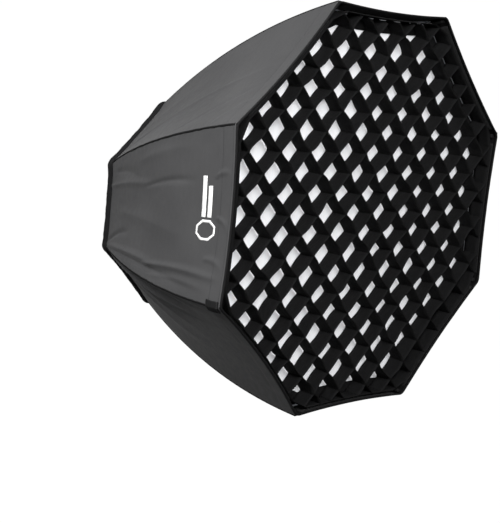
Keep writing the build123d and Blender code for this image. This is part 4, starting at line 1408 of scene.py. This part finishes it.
def finish_cad_nodes():
    """Procedural finishes for the CAD pieces that stay."""
    casting, plastic = painted_metal_material(), plastic_material()
    alloy = turned_metal_material("turned_alloy", (0.72, 0.73, 0.74), 0.30, 0.0007)
    zinc = drawn_metal_material("zinc_plate", (0.66, 0.67, 0.69), 0.30)
    spring = drawn_metal_material("spring_steel", (0.46, 0.47, 0.49), 0.32)
    finishes = {"mount_insert": alloy, "ring_plate": casting, "insert_clips": zinc, "clip_screws": zinc,
                "lock_screw_left": plastic, "lock_screw_right": plastic, "rod_ferrules": zinc,
                "rod_tip_caps": plastic}
    finishes.update({f"rod_{corner}": spring for corner in range(1, SIDES + 1)})
    for node, material in finishes.items():
        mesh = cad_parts[node].data
        mesh.materials.clear()
        mesh.materials.append(material)


# ---------------------------------------------------------------- stage


CAMERA_PLACE = (-2.018, -2.447, 0.110)
CAMERA_FORWARD = (0.6996, 0.7095, -0.0845)
CAMERA_UP = (0.0511, 0.0683, 0.9964)


def make_camera():
    """Camera at the left front, a little below the middle of the box, rolled very slightly."""
    data = bpy.data.cameras.new("camera")
    data.lens, data.sensor_width = 81.7, 36.0
    data.clip_start, data.clip_end = 0.05, 100
    camera = bpy.data.objects.new("camera", data)
    forward = Vector(CAMERA_FORWARD).normalized()
    right = forward.cross(Vector(CAMERA_UP)).normalized()
    up = right.cross(forward)
    turn = Matrix((right, up, -forward)).transposed().to_4x4()
    camera.matrix_world = Matrix.Translation(CAMERA_PLACE) @ turn
    bpy.context.scene.collection.objects.link(camera)
    bpy.context.scene.camera = camera


def add_light(name, place, target, size, power, colour=(1, 1, 1)):
    """Square soft light aimed at a point."""
    data = bpy.data.lights.new(name, "AREA")
    data.size, data.energy, data.color = size, power, colour
    light = bpy.data.objects.new(name, data)
    light.location = place
    light.rotation_mode = "QUATERNION"
    light.rotation_quaternion = (Vector(target) - Vector(place)).to_track_quat("-Z", "Y")
    bpy.context.scene.collection.objects.link(light)


SKY_LIGHT, UNDERSIDE_LIGHT = 0.25, 0.165
LIGHTS = [("key", (-1.5, -3.2, 1.2), 1.2, 108), ("side", (-1.7, -0.7, 1.0), 0.8, 56)]


BACKDROP_PROFILE = [(0.02, 0), (3, 0), (6, 0), (9, 0), (10.6, 0.2), (11.6, 0.9), (12, 2), (12, 5),
                    (11, 9), (6, 12)]  # reach and height


def make_backdrop():
    """Pale floor that sweeps up all round into a pale wall."""
    low = CAD_BOX[0].z - 0.9
    rows = []
    for reach, height in BACKDROP_PROFILE:
        rows.append([Vector((reach * cos(turn), reach * sin(turn), low + height))
                     for turn in round_turns(64)])
    shader = Shader("pale_backdrop", (0.5, 0.5, 0.5), 0.9)
    pale = shader.mix(shader.noise(shader.place(), 0.8, 2), (0.97, 0.97, 0.97), (1.0, 1.0, 1.0))
    shader.principled.inputs["Base Color"].default_value = (0.0, 0.0, 0.0, 1)
    shader.set("Emission Color", pale)
    shader.principled.inputs["Emission Strength"].default_value = 1.02
    backdrop = add_object(MeshRows().add(rows, closed=True).mesh("backdrop"), shader.material)
    for ray in ("diffuse", "glossy", "shadow"):
        setattr(backdrop, f"visible_{ray}", False)


def make_stage():
    """Pale floor, pale surroundings and soft studio light."""
    scene = bpy.context.scene
    scene.view_settings.view_transform = "Standard"
    world = bpy.data.worlds.new("studio")
    scene.world = world
    world.use_nodes = True
    nodes, links = world.node_tree.nodes, world.node_tree.links
    parts = nodes.new("ShaderNodeSeparateXYZ")
    links.new(nodes.new("ShaderNodeTexCoord").outputs["Generated"], parts.inputs[0])
    fade = nodes.new("ShaderNodeMapRange")
    fade_limits = {"From Min": -0.34, "From Max": -0.06, "To Min": UNDERSIDE_LIGHT, "To Max": SKY_LIGHT}
    for name, value in fade_limits.items():
        fade.inputs[name].default_value = value
    links.new(parts.outputs["Z"], fade.inputs["Value"])
    links.new(fade.outputs["Result"], nodes["Background"].inputs["Strength"])
    nodes["Background"].inputs["Color"].default_value = (1.0, 1.0, 1.0, 1)
    make_backdrop()
    middle = (0, -0.45, 0)
    for name, place, size, power in LIGHTS:
        add_light(name, place, middle, size, power)


make_camera()
make_stage()
make_side_panels()
make_front_hem()
make_seam_bindings()
make_rim_binding()
make_back_panels()
make_opening_hems()
make_back_seams()
make_rear_cuff()
make_flaps()
make_printed_mark()
make_corner_straps()
make_lip_tape()
make_grid_strips()
make_grid_stitching()
make_grid_band()
make_front_diffuser()
make_baffle()
make_corner_pockets()
finish_cad_nodes()
